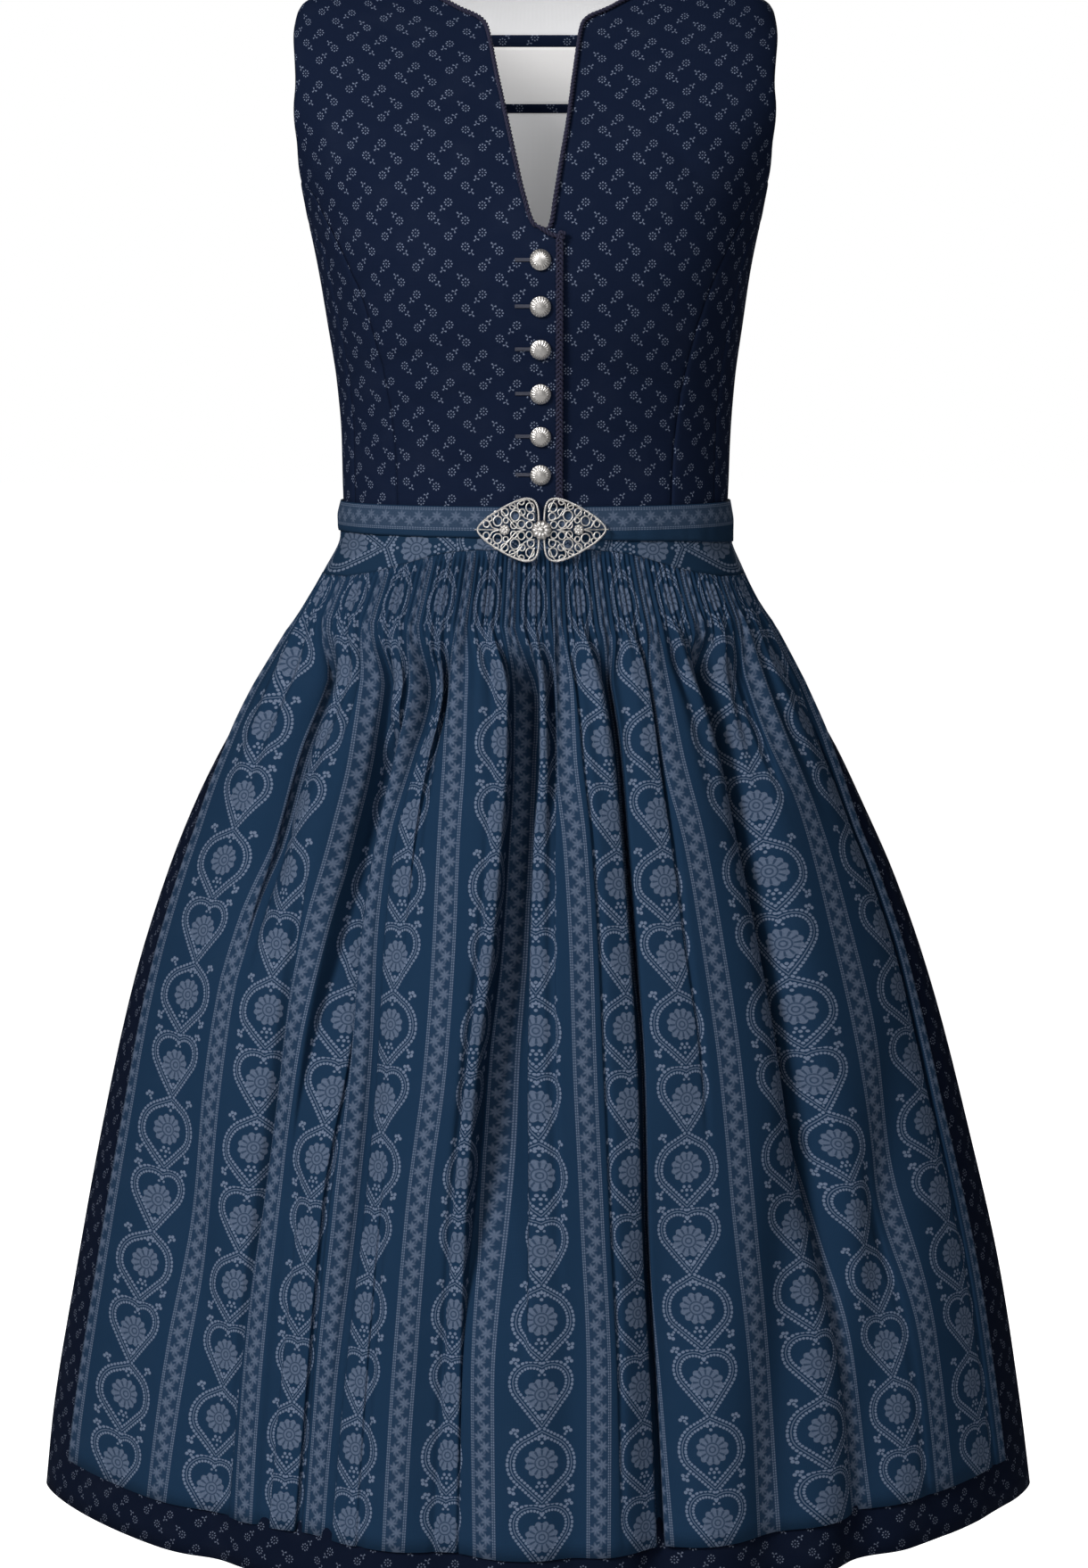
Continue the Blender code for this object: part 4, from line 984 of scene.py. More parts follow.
def valley_row(found, sunk, cuts, count, width, folds):
    """Distance round and depth of every point of one row of cloth."""
    u = np.linspace(0.0, width, count)
    place, depth, rolls = np.zeros(count), np.zeros(count), []
    for k, fold in enumerate(folds):
        here = (u >= cuts[k] - 1e-9) & (u <= cuts[k + 1] + 1e-9)
        cloth, span = cuts[k + 1] - cuts[k], max(found[k + 1] - found[k], LEAST_SPAN)
        hidden = max(cloth - span, 0.0)
        step = min(abs(sunk[k + 1] - sunk[k]), hidden)
        low = max(sunk[k], sunk[k + 1]) + (hidden - step) / 2
        mouth = min(0.7 * span, fold.mouth)
        flat = (span - mouth) * fold.start
        walls = low - sunk[k], low - sunk[k + 1]
        shift = fold.lean * min(1.0, hidden / FULL_LEAN)
        lengths = np.array([flat, walls[0], mouth, walls[1], span - mouth - flat])
        lengths = lengths / lengths.sum() * cloth
        marks = np.concatenate([[0.0], np.cumsum(lengths)])
        places = [0.0, flat, flat + shift, flat + mouth + shift, flat + mouth, span]
        local = u[here] - cuts[k]
        place[here] = found[k] + np.interp(local, marks, places)
        depths = [sunk[k], sunk[k], low, low, sunk[k + 1], sunk[k + 1]]
        depth[here] = np.interp(local, marks, depths)
        main = min(1.0, (fold.mouth / MAIN_MOUTH) ** 2)
        rolls.append((found[k] + flat + mouth / 2, min(hidden * ROLL, ROLL_CAP) * main))
    for middle, amount in rolls:
        depth += amount * np.exp(-((place - middle) / ROLL_REACH) ** 2)
    return place, depth


def soften(row, reach):
    """A running mean with soft ends, along a row."""
    size = int(3 * reach)
    kernel = np.exp(-(np.arange(-size, size + 1) / reach) ** 2 / 2)
    kernel /= kernel.sum()
    padded = np.concatenate([2 * row[0] - row[size:0:-1], row, 2 * row[-1] - row[-2:-size - 2:-1]])
    return np.convolve(padded, kernel, "valid")


# %% [markdown]
# Towards the hem the cloth also swings in broad shallow waves, which no printed column shows.
# They are soft troughs placed one by one, and the skirt below follows the same ones.

# %% Waves at the hem
Wave = namedtuple("Wave", "x slope width depth top")
WAVES = [Wave(-0.215, 0.05, 0.019, 0.0080, -0.66), Wave(-0.150, 0.02, 0.016, 0.0060, -0.60),
         Wave(-0.060, 0.03, 0.021, 0.0095, -0.68), Wave(0.020, 0.01, 0.015, 0.0055, -0.70),
         Wave(0.085, -0.03, 0.021, 0.0090, -0.64), Wave(0.160, -0.04, 0.019, 0.0085, -0.62),
         Wave(0.225, -0.06, 0.017, 0.0070, -0.60)]
WAVE_START = 0.65


def soft_waves(x, z):
    """The broad shallow waves that reach the hem."""
    depth = np.zeros(len(x))
    for wave in WAVES:
        middle = wave.x + wave.slope * (z + WAVE_START) * -1.0
        deep = wave.depth * smooth((wave.top - z) / 0.16)
        depth += deep * np.exp(-((x - middle) / wave.width) ** 2)
    return depth


# %% [markdown]
# A whole width is hung row by row. Every row has the same cloth in it, and the valleys fade out
# under the gathering, where the pleats hold the cloth evenly.

# %% Hanging a width
FOLD_CAP, FREE_WITHIN, STIFFNESS = 0.0440, 0.035, 0.0016
SHARP_SHARE, BROAD_SHARE, BROADER = 0.85, 0.3, 7.0


def hung_cloth(levels, heights, rows, cuts, count, width, edge, folds, recess, face="front"):
    """Places round and depths for every row of a gathered width, from the hem up."""
    found = np.stack([cubic(heights, rows[:, k], levels) for k in range(rows.shape[1])], axis=1)
    found[:, 0] = -edge(levels) * quarter_length(levels, -1, face)
    found[:, -1] = edge(levels) * quarter_length(levels, 1, face)
    around, depth = [], []
    top = max(heights)
    for row, z in enumerate(levels):
        sunk = [recess(k, z) for k in range(len(cuts))]
        place, deep = valley_row(found[row], sunk, cuts, count, width, folds)
        free = float(smooth((top - z) / FREE_WITHIN))
        even = np.interp(np.linspace(0, width, count), cuts, found[row])
        place, deep = even + (place - even) * free, np.minimum(deep, FOLD_CAP) * free
        reach = count / width * STIFFNESS
        ends = place[0], place[-1]
        place = soften(place, reach)
        deep = SHARP_SHARE * soften(deep, reach) + BROAD_SHARE * soften(deep, BROADER * reach)
        slips = [ends[0] - place[0], ends[1] - place[-1]]
        place = place + np.interp(np.arange(count), [0, count - 1], slips)
        length = np.where(place < 0, quarter_length(z, -1, face), quarter_length(z, 1, face))
        around.append(place / length)
        depth.append(deep)
    return np.array(around), np.array(depth)


# %% [markdown]
# The apron's top is held by the band, whose lower edge dips towards the sides. Small uneven
# ridges run out of the pleats and melt into the folds below.

# %% The gathered top
YOKE_EDGE = [(0.000, -0.3500), (0.036, -0.3503), (0.048, -0.3512), (0.058, -0.3530),
             (0.068, -0.3560), (0.090, -0.3640), (0.110, -0.3690), (0.140, -0.3710)]
RIDGE_DEEP = 0.0015


def yoke_edge(around):
    x = np.abs(on_figure(around, np.full(np.shape(around), -0.360))[..., 0])
    return np.interp(x, [p[0] for p in YOKE_EDGE], [p[1] for p in YOKE_EDGE])


def centre_lift(around, z):
    """The step of the placket under the bands, faded out below the waist."""
    lift = placket_lift(on_figure(around, z)[..., 0]) * smooth((z + 0.390) / 0.045)
    return np.where(np.abs(around) > 1, 0.0, lift)


def gathers(cloth, z):
    """Small uneven ridges that run out of the pleats and melt into the folds below."""
    waves = ((1.0, 0.0210, 0.6), (0.7, 0.0137, 2.1), (0.6, 0.0330, 4.0))
    mix = sum(share * np.sin(cloth * 2 * math.pi / length + start) for share, length, start in waves)
    return RIDGE_DEEP * mix * smooth((-0.385 - z) / 0.02) * smooth((z + 0.53) / 0.11)


# %% [markdown]
# The apron is hung first where it falls free, and its pleated top is added above in a few rows.
# Each pleat has six columns of the grid, enough for a round ridge and a sharp valley.

# %% Rows and columns of the apron
FREE_LEVELS = np.concatenate([np.linspace(APRON_HEM, -0.50, 44), np.linspace(-0.492, GAUGING_END, 16)])
GAUGED_ROWS, PLEAT_COLUMNS = 10, 6
APRON_COLUMNS = GAUGING_PLEATS * PLEAT_COLUMNS
APRON_ROWS = len(FREE_LEVELS) - 1 + GAUGED_ROWS
CUTS = [place * COLUMN / 1000 for place in COLUMN_PLACES]
SEEN = anchors()


def apron_folds(levels):
    """Places round and depths of the apron's cloth at these levels."""
    return hung_cloth(levels, *SEEN, CUTS, APRON_COLUMNS + 1, APRON_WIDTH, apron_edge, FOLDS, recess)


APRON_AROUND, APRON_DEPTH = apron_folds(FREE_LEVELS)
print("deepest fold of the apron", round(float(APRON_DEPTH.max()) * 1000, 1), "mm")


def apron_level(i, j):
    """Place round and height of points of the apron."""
    free = np.minimum(j, len(FREE_LEVELS) - 1)
    around = APRON_AROUND[free, i]
    top = yoke_edge(around) - 0.0002
    share = np.clip((j - (len(FREE_LEVELS) - 1)) / GAUGED_ROWS, 0.0, 1.0)
    gauged = GAUGING_END + (top - GAUGING_END) * share
    return around, np.where(j < len(FREE_LEVELS), FREE_LEVELS[free], gauged)


# %% [markdown]
# Now the apron takes its depth: pleats at the top, ridges under them, then the folds and the
# waves. Its print is counted along the slope of the front, so that the hearts keep their length.

# %% The apron
APRON_OFF, PLEAT_DEEP = 0.0024, 0.0036
PRINT_SHIFT, PRINT_DRAWN = 0.0153, 0.969


def apron_place(i, j):
    around, z = apron_level(i, j)
    free = np.minimum(j, len(FREE_LEVELS) - 1)
    cloth = i / APRON_COLUMNS * APRON_WIDTH
    x = on_figure(around, z)[:, 0]
    ridge = np.abs(np.sin(math.pi * i / PLEAT_COLUMNS)) ** 0.7
    uneven = 0.8 + 0.2 * np.sin(i // PLEAT_COLUMNS * 2.4)
    pleats = PLEAT_DEEP * (ridge - 1.0) * uneven * smooth((z - (GAUGING_END - 0.014)) / 0.016)
    pleats = pleats * smooth((yoke_edge(around) - z) / 0.0016)
    out = APRON_OFF + centre_lift(around, z) + pleats + gathers(cloth, z)
    out = out - APRON_DEPTH[free, i] - soft_waves(x, z)
    return on_figure(around, z, out)


def fall(z):
    """Length down the cloth from the waist, along the slope of the front."""
    heights = np.array([-0.9703, -0.85, -0.75, -0.65, -0.55, -0.50, -0.45, -0.40, -0.345])
    front = look(POINTS, np.zeros(len(heights)), heights)[:, 1]
    run = np.concatenate([[0.0], np.cumsum(np.hypot(np.diff(heights), np.diff(front)))])
    return run[-1] - np.interp(z, heights, run)


def apron_cut(i, j):
    _, z = apron_level(i, j)
    return np.stack([i / APRON_COLUMNS * APRON_WIDTH, PRINT_SHIFT - PRINT_DRAWN * fall(z)], axis=-1)


cut_cloth("apron_width", APRON_COLUMNS, APRON_ROWS, apron_place, apron_cut, "apron", APRON)
print("apron", APRON_COLUMNS, "x", APRON_ROWS, "cells")

# %% [markdown]
# The skirt is two widths, seamed at the sides and gathered to the waist. The front one hangs
# under the apron, so its folds are the apron's, widened until the skirt clears them from
# behind. They are worked out in bins round the figure, each as deep as its deepest neighbour.

# %% Folds of the skirt's front
SKIRT_WIDTH = 0.80
SKIRT_LEVELS = np.concatenate([np.linspace(HEM, -0.50, 44), np.linspace(-0.488, -0.3453, 20)])
FRONT_COLUMNS, BINS, BIN_REACH = 300, 400, 5


def lined(around, depth):
    """The apron's folds at one level, made wider."""
    deep = np.zeros(BINS + 1)
    bins = np.clip(np.rint((around + 1) / 2 * BINS).astype(int), 0, BINS)
    np.maximum.at(deep, bins, depth)
    wide = np.max([np.roll(deep, n) for n in range(-BIN_REACH, BIN_REACH + 1)], axis=0)
    return soften(wide, 2.0)


AT_COLUMNS = np.linspace(0, BINS, FRONT_COLUMNS + 1)
FRONT_DEPTH = np.array([np.interp(AT_COLUMNS, np.arange(BINS + 1), lined(around, depth))
                        for around, depth in zip(*apron_folds(SKIRT_LEVELS))])
print("skirt's front folds at", len(FRONT_DEPTH), "levels")

# %% [markdown]
# The front width shows only at its sides and hem. Under the apron it is drawn in a little more,
# and at its side seams it meets the back width with no fold.

# %% The skirt's front
UNDER_APRON, UNDER_PLEATS, SEAM_PAST = 0.0024, 0.0010, 0.0002


def skirt_front_place(i, j):
    around, z = 2 * i / FRONT_COLUMNS - 1, SKIRT_LEVELS[j]
    x = on_figure(around, z)[:, 0]
    inner = smooth((1 - np.abs(around)) / 0.04)
    hidden = smooth((apron_edge(z) - np.abs(around)) / 0.05) * smooth((z - (APRON_HEM - 0.004)) / 0.03)
    gauged = smooth((z - GAUGING_END + 0.03) / 0.03) * smooth((apron_edge(z) - np.abs(around)) / 0.05)
    shown = 0.45 + 0.55 * smooth((z - APRON_HEM + 0.01) / 0.05)
    out = -FRONT_DEPTH[j, i] * inner * shown - soft_waves(x, z) - UNDER_APRON * hidden - UNDER_PLEATS * gauged
    points = on_figure(around, z, out)
    points[:, 1] -= SEAM_PAST * (np.abs(around) > 0.999)
    return points


HEM_LENGTHS = {side: float(quarter_length(HEM, side)) for side in (-1, 1)}


def skirt_front_cut(i, j):
    around = 2 * i / FRONT_COLUMNS - 1
    wide = np.where(around < 0, HEM_LENGTHS[-1], HEM_LENGTHS[1])
    return np.stack([around * wide, -fall(SKIRT_LEVELS[j])], axis=-1)


cut_cloth("front_width", FRONT_COLUMNS, len(SKIRT_LEVELS) - 1, skirt_front_place, skirt_front_cut,
          "skirt_front", SKIRT)
print("skirt's front has", FRONT_COLUMNS, "columns")

# %% [markdown]
# The back width hangs from 52 small pleats in folds of the same kind as in front. Nothing was
# measured there, so they are spaced evenly and wander a little on the way down.

# %% Folds of the skirt's back
BACK_CUTS = [0.0, 0.055, 0.115, 0.165, 0.235, 0.290, 0.350, 0.400, 0.455, 0.520, 0.575, 0.640,
             0.700, 0.750, 0.800]
BACK_COLUMNS, BACK_PLEATS, BACK_PLEAT_DEEP = 520, 52, 0.0013


def whole(z):
    return np.ones_like(np.asarray(z, float))


def level_back(k, z):
    return 0.0


def back_anchors():
    """The back hangs evenly from the waist, and its folds wander a little on the way down."""
    heights, rows = [HEM, -0.80, -0.65, -0.53, -0.44, -0.372], []
    even = 2 * np.array(BACK_CUTS) / SKIRT_WIDTH - 1
    for z in heights:
        wander = 0.020 * np.sin(np.arange(len(even)) * 2.3 + z * 6.0) * smooth((z - HEM) / 0.40)
        wander[[0, -1]] = 0.0
        turns = even + wander
        quarters = np.where(turns < 0, quarter_length(z, -1, "back"), quarter_length(z, 1, "back"))
        rows.append(turns * quarters)
    return heights, np.array(rows)


BACK_AROUND, BACK_DEPTH = hung_cloth(SKIRT_LEVELS, *back_anchors(), BACK_CUTS, BACK_COLUMNS + 1,
                                     SKIRT_WIDTH, whole, FOLDS[:len(BACK_CUTS) - 1], level_back,
                                     face="back")
print("deepest fold of the back", round(float(BACK_DEPTH.max()) * 1000, 1), "mm")

# %% [markdown]
# The grid's columns run from the wearer's left to the right here, because that is how the back
# is seen from outside. Otherwise its faces would point inwards.

# %% The skirt's back
def skirt_back_place(i, j):
    """Points of the back, counted from the wearer's left to the right."""
    flipped = BACK_COLUMNS - i
    turn, z = BACK_AROUND[j, flipped], SKIRT_LEVELS[j]
    around = np.where(turn > 0, 2 - turn, -2 - turn)
    x = on_figure(around, z)[:, 0]
    ridge = 0.5 - 0.5 * np.cos(2 * math.pi * i * BACK_PLEATS / BACK_COLUMNS)
    inner = smooth((1 - np.abs(turn) - 0.02) / 0.1)
    pleats = BACK_PLEAT_DEEP * ridge * inner * smooth((z + 0.392) / 0.02)
    out = pleats - BACK_DEPTH[j, flipped] - soft_waves(0.9 * x + 0.02, z)
    out = out + gathers(i / BACK_COLUMNS * SKIRT_WIDTH, z) * inner
    points = on_figure(around, z, out)
    points[:, 1] += SEAM_PAST * (np.abs(turn) > 0.999)
    return points


def skirt_back_cut(i, j):
    return np.stack([i / BACK_COLUMNS * SKIRT_WIDTH, -fall(SKIRT_LEVELS[j])], axis=-1)


cut_cloth("back_width", BACK_COLUMNS, len(SKIRT_LEVELS) - 1, skirt_back_place, skirt_back_cut,
          "skirt_back", SKIRT)
print("skirt's back has", BACK_COLUMNS, "columns")

# %% [markdown]
# The band that holds the apron's pleats is cut with the print lying on its side, and its lower
# edge dips towards the hips. It lies on the skirt's waist and under the ties.

# %% The band
TIE_TOP, YOKE_TOP = -0.3237, -0.3335
YOKE_END, YOKE_OFF, WALL = 1.10, 0.0010, 0.0012
TIE_OVER_YOKE = YOKE_OFF + WALL + 0.0005
YOKE_COLUMNS, YOKE_ROWS = 240, 14
YOKE_FLAT, YOKE_SHIFT = 0.85, 0.008


def yoke_level(i, j):
    around = YOKE_END * (2 * i / YOKE_COLUMNS - 1)
    low = yoke_edge(around)
    return around, low + (YOKE_TOP - low) * j / YOKE_ROWS


def yoke_place(i, j):
    around, z = yoke_level(i, j)
    rise = 0.0003 * np.sin(around * 23.0) * np.sin(around * 9.0 + 1.0)
    puff = 0.0004 * np.sin(j / YOKE_ROWS * math.pi)
    return on_figure(around, z, YOKE_OFF + WALL + centre_lift(around, z) + rise + puff)


def yoke_cut(i, j):
    around, z = yoke_level(i, j)
    turn = np.minimum(np.abs(around), YOKE_FLAT)
    x = np.abs(on_figure(turn, np.full(np.shape(turn), -0.35))[..., 0])
    along_band = x + (np.abs(around) - turn) * 0.9 * quarter_length(-0.35, 1)
    return np.stack([-along_band + YOKE_SHIFT, z + 0.350], axis=-1)


cut_cloth("yoke_band", YOKE_COLUMNS, YOKE_ROWS, yoke_place, yoke_cut, "apron_yoke", YOKE)
print("band", YOKE_COLUMNS, "x", YOKE_ROWS, "cells")

# %% [markdown]
# The ties are strips cut along a border stripe. Each is sewn to its half of the clasp, lies
# over the upper part of the band, and runs round to the centre back.

# %% The ties
TIE_EDGE = [(-2.0, -0.3475), (-1.2, -0.3450), (-0.9, -0.3420), (0.0, -0.3425), (0.15, -0.3435),
            (0.55, -0.3460), (0.90, -0.3500), (1.2, -0.3490), (2.0, -0.3475)]
TIE_COLUMNS, TIE_ROWS, TIE_PRINT_WIDE = 220, 12, 0.155


def tie(name, side, front_x, node):
    columns, rows = TIE_COLUMNS, TIE_ROWS
    first = around_at(front_x, TIE_TOP)
    last = side * 2.0 - side * 0.0012

    def level(i, j):
        share = i / columns if side > 0 else 1 - i / columns
        around = first + (last - first) * share
        low = np.interp(around, [p[0] for p in TIE_EDGE], [p[1] for p in TIE_EDGE])
        return around, low + (TIE_TOP - low) * j / rows

    def place(i, j):
        around, z = level(i, j)
        over = smooth((YOKE_END + 0.14 - np.abs(around)) / 0.08)
        over = over * smooth((1 - j / rows) / 0.5)
        off = YOKE_OFF + (TIE_OVER_YOKE - YOKE_OFF) * over + centre_lift(around, z)
        off = off + 0.0016 * ((z < WAIST + 0.001) & (np.abs(around) > YOKE_END))
        slack = np.sin(around * 31.0 + 1.0) * np.sin(around * 12.0)
        slack = 0.0005 * slack * smooth((1 - j / rows) / 0.6)
        edge = np.minimum(j, rows - j) / rows
        roll = -0.0005 * np.exp(-(edge / 0.07) ** 2)
        return on_figure(around, z, off + WALL + np.abs(slack) + roll)

    def cut(i, j):
        around, z = level(i, j)
        return np.stack([around * TIE_PRINT_WIDE, z - (TIE_TOP - 0.0085)], axis=-1)

    cut_cloth(name, columns, rows, place, cut, node, TIE)


tie("right_tie", -1, 0.0012, "apron_tie_right")
tie("left_tie", 1, 0.0072, "apron_tie_left")

# %% [markdown]
# A twisted cord edges the neckline and the slit, and a flat three-strand plait runs down the
# placket. Each is made of its real strands: a curve for each strand, wound or plaited round
# the cord's path, and turned into a mesh tube.

# %% Paths along the front
def on_front(x, z, out):
    return Vector(on_figure(around_at(x, z), z, out))


def along(route, spacing):
    """Points at even steps along a route of (x, z)."""
    route = np.array(route)
    run = np.concatenate([[0.0], np.cumsum(np.hypot(*np.diff(route, axis=0).T))])
    steps = np.linspace(0.0, run[-1], max(int(run[-1] / spacing), 2) + 1)
    return np.stack([cubic(run, route[:, 0], steps), cubic(run, route[:, 1], steps)], axis=-1)


TUBE_ROUND = 1


def tubes(name, strands, radius, node, material):
    """One mesh of round strands, each given as a list of points."""
    curve = bpy.data.curves.new(name, "CURVE")
    curve.dimensions = "3D"
    curve.bevel_depth = radius
    curve.bevel_resolution = TUBE_ROUND
    curve.use_fill_caps = True
    for strand in strands:
        spline = curve.splines.new("POLY")
        spline.points.add(len(strand) - 1)
        for place, point in zip(spline.points, strand):
            place.co = (*point, 1.0)
    wire = linked(name + "_line", curve)
    mesh = bpy.data.meshes.new_from_object(wire)
    bpy.data.objects.remove(wire)
    mesh.name = name
    mesh.shade_smooth()
    finish_piece(linked(name, mesh), node, material)


def twist(path, count, radius, pitch):
    """Strands wound round a path."""
    path = [Vector(p) for p in path]
    run, strands = 0.0, [[] for _ in range(count)]
    side = Vector((0, -1, 0))
    for k, point in enumerate(path):
        ahead = (path[min(k + 1, len(path) - 1)] - path[max(k - 1, 0)]).normalized()
        side = (side - ahead * side.dot(ahead)).normalized()
        other = ahead.cross(side)
        run += (path[k] - path[k - 1]).length if k else 0.0
        for n in range(count):
            angle = 2 * math.pi * (run / pitch + n / count)
            strands[n].append(point + (side * math.cos(angle) + other * math.sin(angle)) * radius)
    return strands


print("each strand has", 4 + 2 * TUBE_ROUND, "sides")

# %% [markdown]
# Each neck cord follows its front's own edge from the shoulder down to the slit, sewn a hair
# inside it, and ends in a short tail on the placket. It is wound from two strands.

# %% Neck cords
CORD_RADIUS, CORD_STRAND, CORD_WOUND, CORD_PITCH, CORD_INSIDE = 0.0014, 0.0008, 0.00075, 0.0050, 0.0009
CORD_TAIL = {-1: [(0.0105, -0.1656), (0.0150, -0.1668)], 1: [(0.0060, -0.1636)]}
for tag, side, slit in (("right", -1, SLIT_RIGHT), ("left", 1, SLIT_LEFT)):
    edges = front_edges(side, slit, PLACKET_EDGE if side < 0 else UNDERLAP_EDGE)
    inner = edges[3] if side < 0 else edges[2]
    first = 1 - (len(slit) + len(NECKLINE) - 1) / (len(inner) - 1)
    line = read(inner, np.linspace(0.999, first, 420))
    line[:, 0] += side * CORD_INSIDE / quarter_length(line[:, 1], side)
    tail = along([slit[0], *CORD_TAIL[side]], 0.0007)[2:]
    path = []
    for around, z in [*line, *[(around_at(x, z), z) for x, z in tail]]:
        x = float(on_figure(around, z)[0])
        lift = float(placket_lift(x) * below_slit(z)) if side < 0 else 0.0
        path.append(Vector(on_figure(around, z, lift + CORD_RADIUS)))
    print(tag, "neck cord", round(sum((b - a).length for a, b in zip(path, path[1:])), 3), "m long")
    tubes(f"{tag}_neck_cord", twist(path, 2, CORD_WOUND, CORD_PITCH), CORD_STRAND, f"neck_cord_{tag}",
          CORD)

# %% [markdown]
# A plait of three strands runs down the placket's edge. Each strand swings from side to side,
# a third of a turn after the one before, and dips under the next at twice that rate. The
# plait starts under a small knot.

# %% The placket's plait and its knot
PLAIT_TOP, PLAIT_BOTTOM, PLAIT_X, PLAIT_PITCH = -0.1655, -0.3215, 0.0148, 0.0085
plait = [[] for _ in range(3)]
for z in np.linspace(PLAIT_TOP, PLAIT_BOTTOM, 300):
    for n in range(3):
        phase = (PLAIT_TOP - z) / PLAIT_PITCH * 2 * math.pi + n * 2 * math.pi / 3
        x = PLAIT_X + 0.0016 * math.sin(phase)
        out = float(placket_lift(x)) + 0.0014 + 0.0005 * math.sin(2 * phase)
        plait[n].append(on_front(x, z, out))
tubes("placket_plait", plait, 0.0008, "placket_braid", CORD)
loop = [on_front(0.0160 + 0.0014 * math.cos(turn), -0.1660 + 0.0016 * math.sin(turn), 0.0044)
        for turn in np.linspace(0, 5.6, 24)]
tubes("placket_knot", twist(loop, 2, 0.0006, 0.0045), 0.0007, None, CORD)
print("placket plait", round(PLAIT_TOP - PLAIT_BOTTOM, 3), "m long")

# %% [markdown]
# Pressed metal is round, so its profile is drawn once and spun about its axis. The new shape
# then has its doubles merged and its faces turned outwards before it is set in its place.

# %% Spinning a profile
def standing(point, normal):
    return Matrix.Translation(point) @ Vector(normal).to_track_quat("Z", "Y").to_matrix().to_4x4()


def spun(name, profile, steps, place, node, material, shape=None):
    """A profile of (radius, height) spun about its axis, then set in its place."""
    bm = bmesh.new()
    line = [bm.verts.new((r, 0.0, h)) for r, h in profile]
    for a, b in zip(line, line[1:]):
        bm.edges.new((a, b))
    bmesh.ops.spin(bm, geom=bm.verts[:] + bm.edges[:], cent=(0, 0, 0), axis=(0, 0, 1),
                   angle=2 * math.pi, steps=steps, use_merge=True, use_duplicate=False)
    bmesh.ops.remove_doubles(bm, verts=bm.verts, dist=1e-6)
    bmesh.ops.holes_fill(bm, edges=[e for e in bm.edges if e.is_boundary])
    if shape:
        for vertex in bm.verts:
            shape(vertex)
    bmesh.ops.recalc_face_normals(bm, faces=bm.faces)
    bmesh.ops.transform(bm, matrix=place, verts=bm.verts)
    mesh = mesh_of(name, bm)
    mesh.shade_smooth()
    finish_piece(linked(name, mesh), node, material)


# %% [markdown]
# The buttons are pressed silver domes with rays near the rim, and the rays rise and fall round
# the spun dome. Beside each button lies its worked buttonhole, three strands of thread.

# %% Buttons and buttonholes
BUTTON_X, BUTTON_RADIUS = 0.0037, 0.0062
BUTTON_HEIGHTS = [-0.1796, -0.2056, -0.2299, -0.2559, -0.2812, -0.3042]
DOME = [(0.0, 0.0036), (0.10, 0.00358), (0.25, 0.00348), (0.40, 0.00332), (0.52, 0.00310),
        (0.60, 0.00298), (0.70, 0.00272), (0.80, 0.00238), (0.88, 0.00198), (0.94, 0.00168),
        (0.98, 0.00150), (1.0, 0.00120), (0.98, 0.00090), (0.92, 0.0002)]
RAYS, RAY_INNER, RAY_OUTER = 20, 0.55, 0.96
HOLE_FROM, HOLE_TO = 0.0148, 0.0050


def rays(vertex):
    """Rays between the dome and its rim."""
    r = math.hypot(vertex.co.x, vertex.co.y) / BUTTON_RADIUS
    if vertex.co.z > 0.0012 and RAY_INNER < r < RAY_OUTER:
        swell = math.sin((r - RAY_INNER) / 0.41 * math.pi)
        vertex.co.z += 0.00042 * swell * math.cos(RAYS * math.atan2(vertex.co.y, vertex.co.x))


for number, z in enumerate(BUTTON_HEIGHTS, 1):
    around = around_at(BUTTON_X, z)
    point, normal = Vector(on_figure(around, z, PLACKET_LIFT + 0.0004)), look(NORMALS, around, np.array(z))
    profile = [(r * BUTTON_RADIUS, h) for r, h in DOME]
    spun(f"dome_button_{number}", profile, 96, standing(point, normal), f"button_{number}",
         SILVER, rays)
    bar = [[on_front(x, z + row, float(placket_lift(x)) + 0.0005)
            for x in np.linspace(BUTTON_X - HOLE_FROM, BUTTON_X - HOLE_TO, 12)]
           for row in np.linspace(-0.0006, 0.0006, 3)]
    tubes(f"buttonhole_{number}", bar, 0.00045, None, THREAD)
print("buttons", len(BUTTON_HEIGHTS))

# %% [markdown]
# The clasp is filigree: each leaf-shaped half has a rope of twisted wire for its rim, and rings
# and bows of wire soldered inside it, with open holes between. The tables give one half's lines
# above its middle, counted out from the hook and up.

# %% The clasp's lines
CLASP_X, CLASP_Z = 0.0042, -0.3373
CLASP_THICK, CLASP_GAP, CLASP_LEAN = 0.0016, 0.0014, 0.10
RIM_UP, WIRE_UP, RING_TALL = 0.0010, 0.0009, 1.15
LEAF = [(0.0016, 0.0040), (0.0017, 0.0090), (0.0022, 0.0130), (0.0034, 0.0162), (0.0058, 0.0181),
        (0.0088, 0.0186), (0.0130, 0.0176), (0.0172, 0.0158), (0.0212, 0.0138), (0.0253, 0.0112),
        (0.0293, 0.0086), (0.0332, 0.0054), (0.0368, 0.0000)]
OVER_TIE = TIE_OVER_YOKE + WALL + PLACKET_LIFT + CLASP_GAP


def clasp_point(x, z, out):
    """Clasp metal bends round the waist and leans out a little towards its foot."""
    around = around_at(x, CLASP_Z)
    normal = look(NORMALS, around, np.array(CLASP_Z))
    normal = Vector((normal[0], normal[1], 0.0)).normalized()
    point = Vector(on_figure(around, CLASP_Z)) + normal * (out + CLASP_LEAN * (CLASP_Z - z))
    return Vector((point.x, point.y, z))


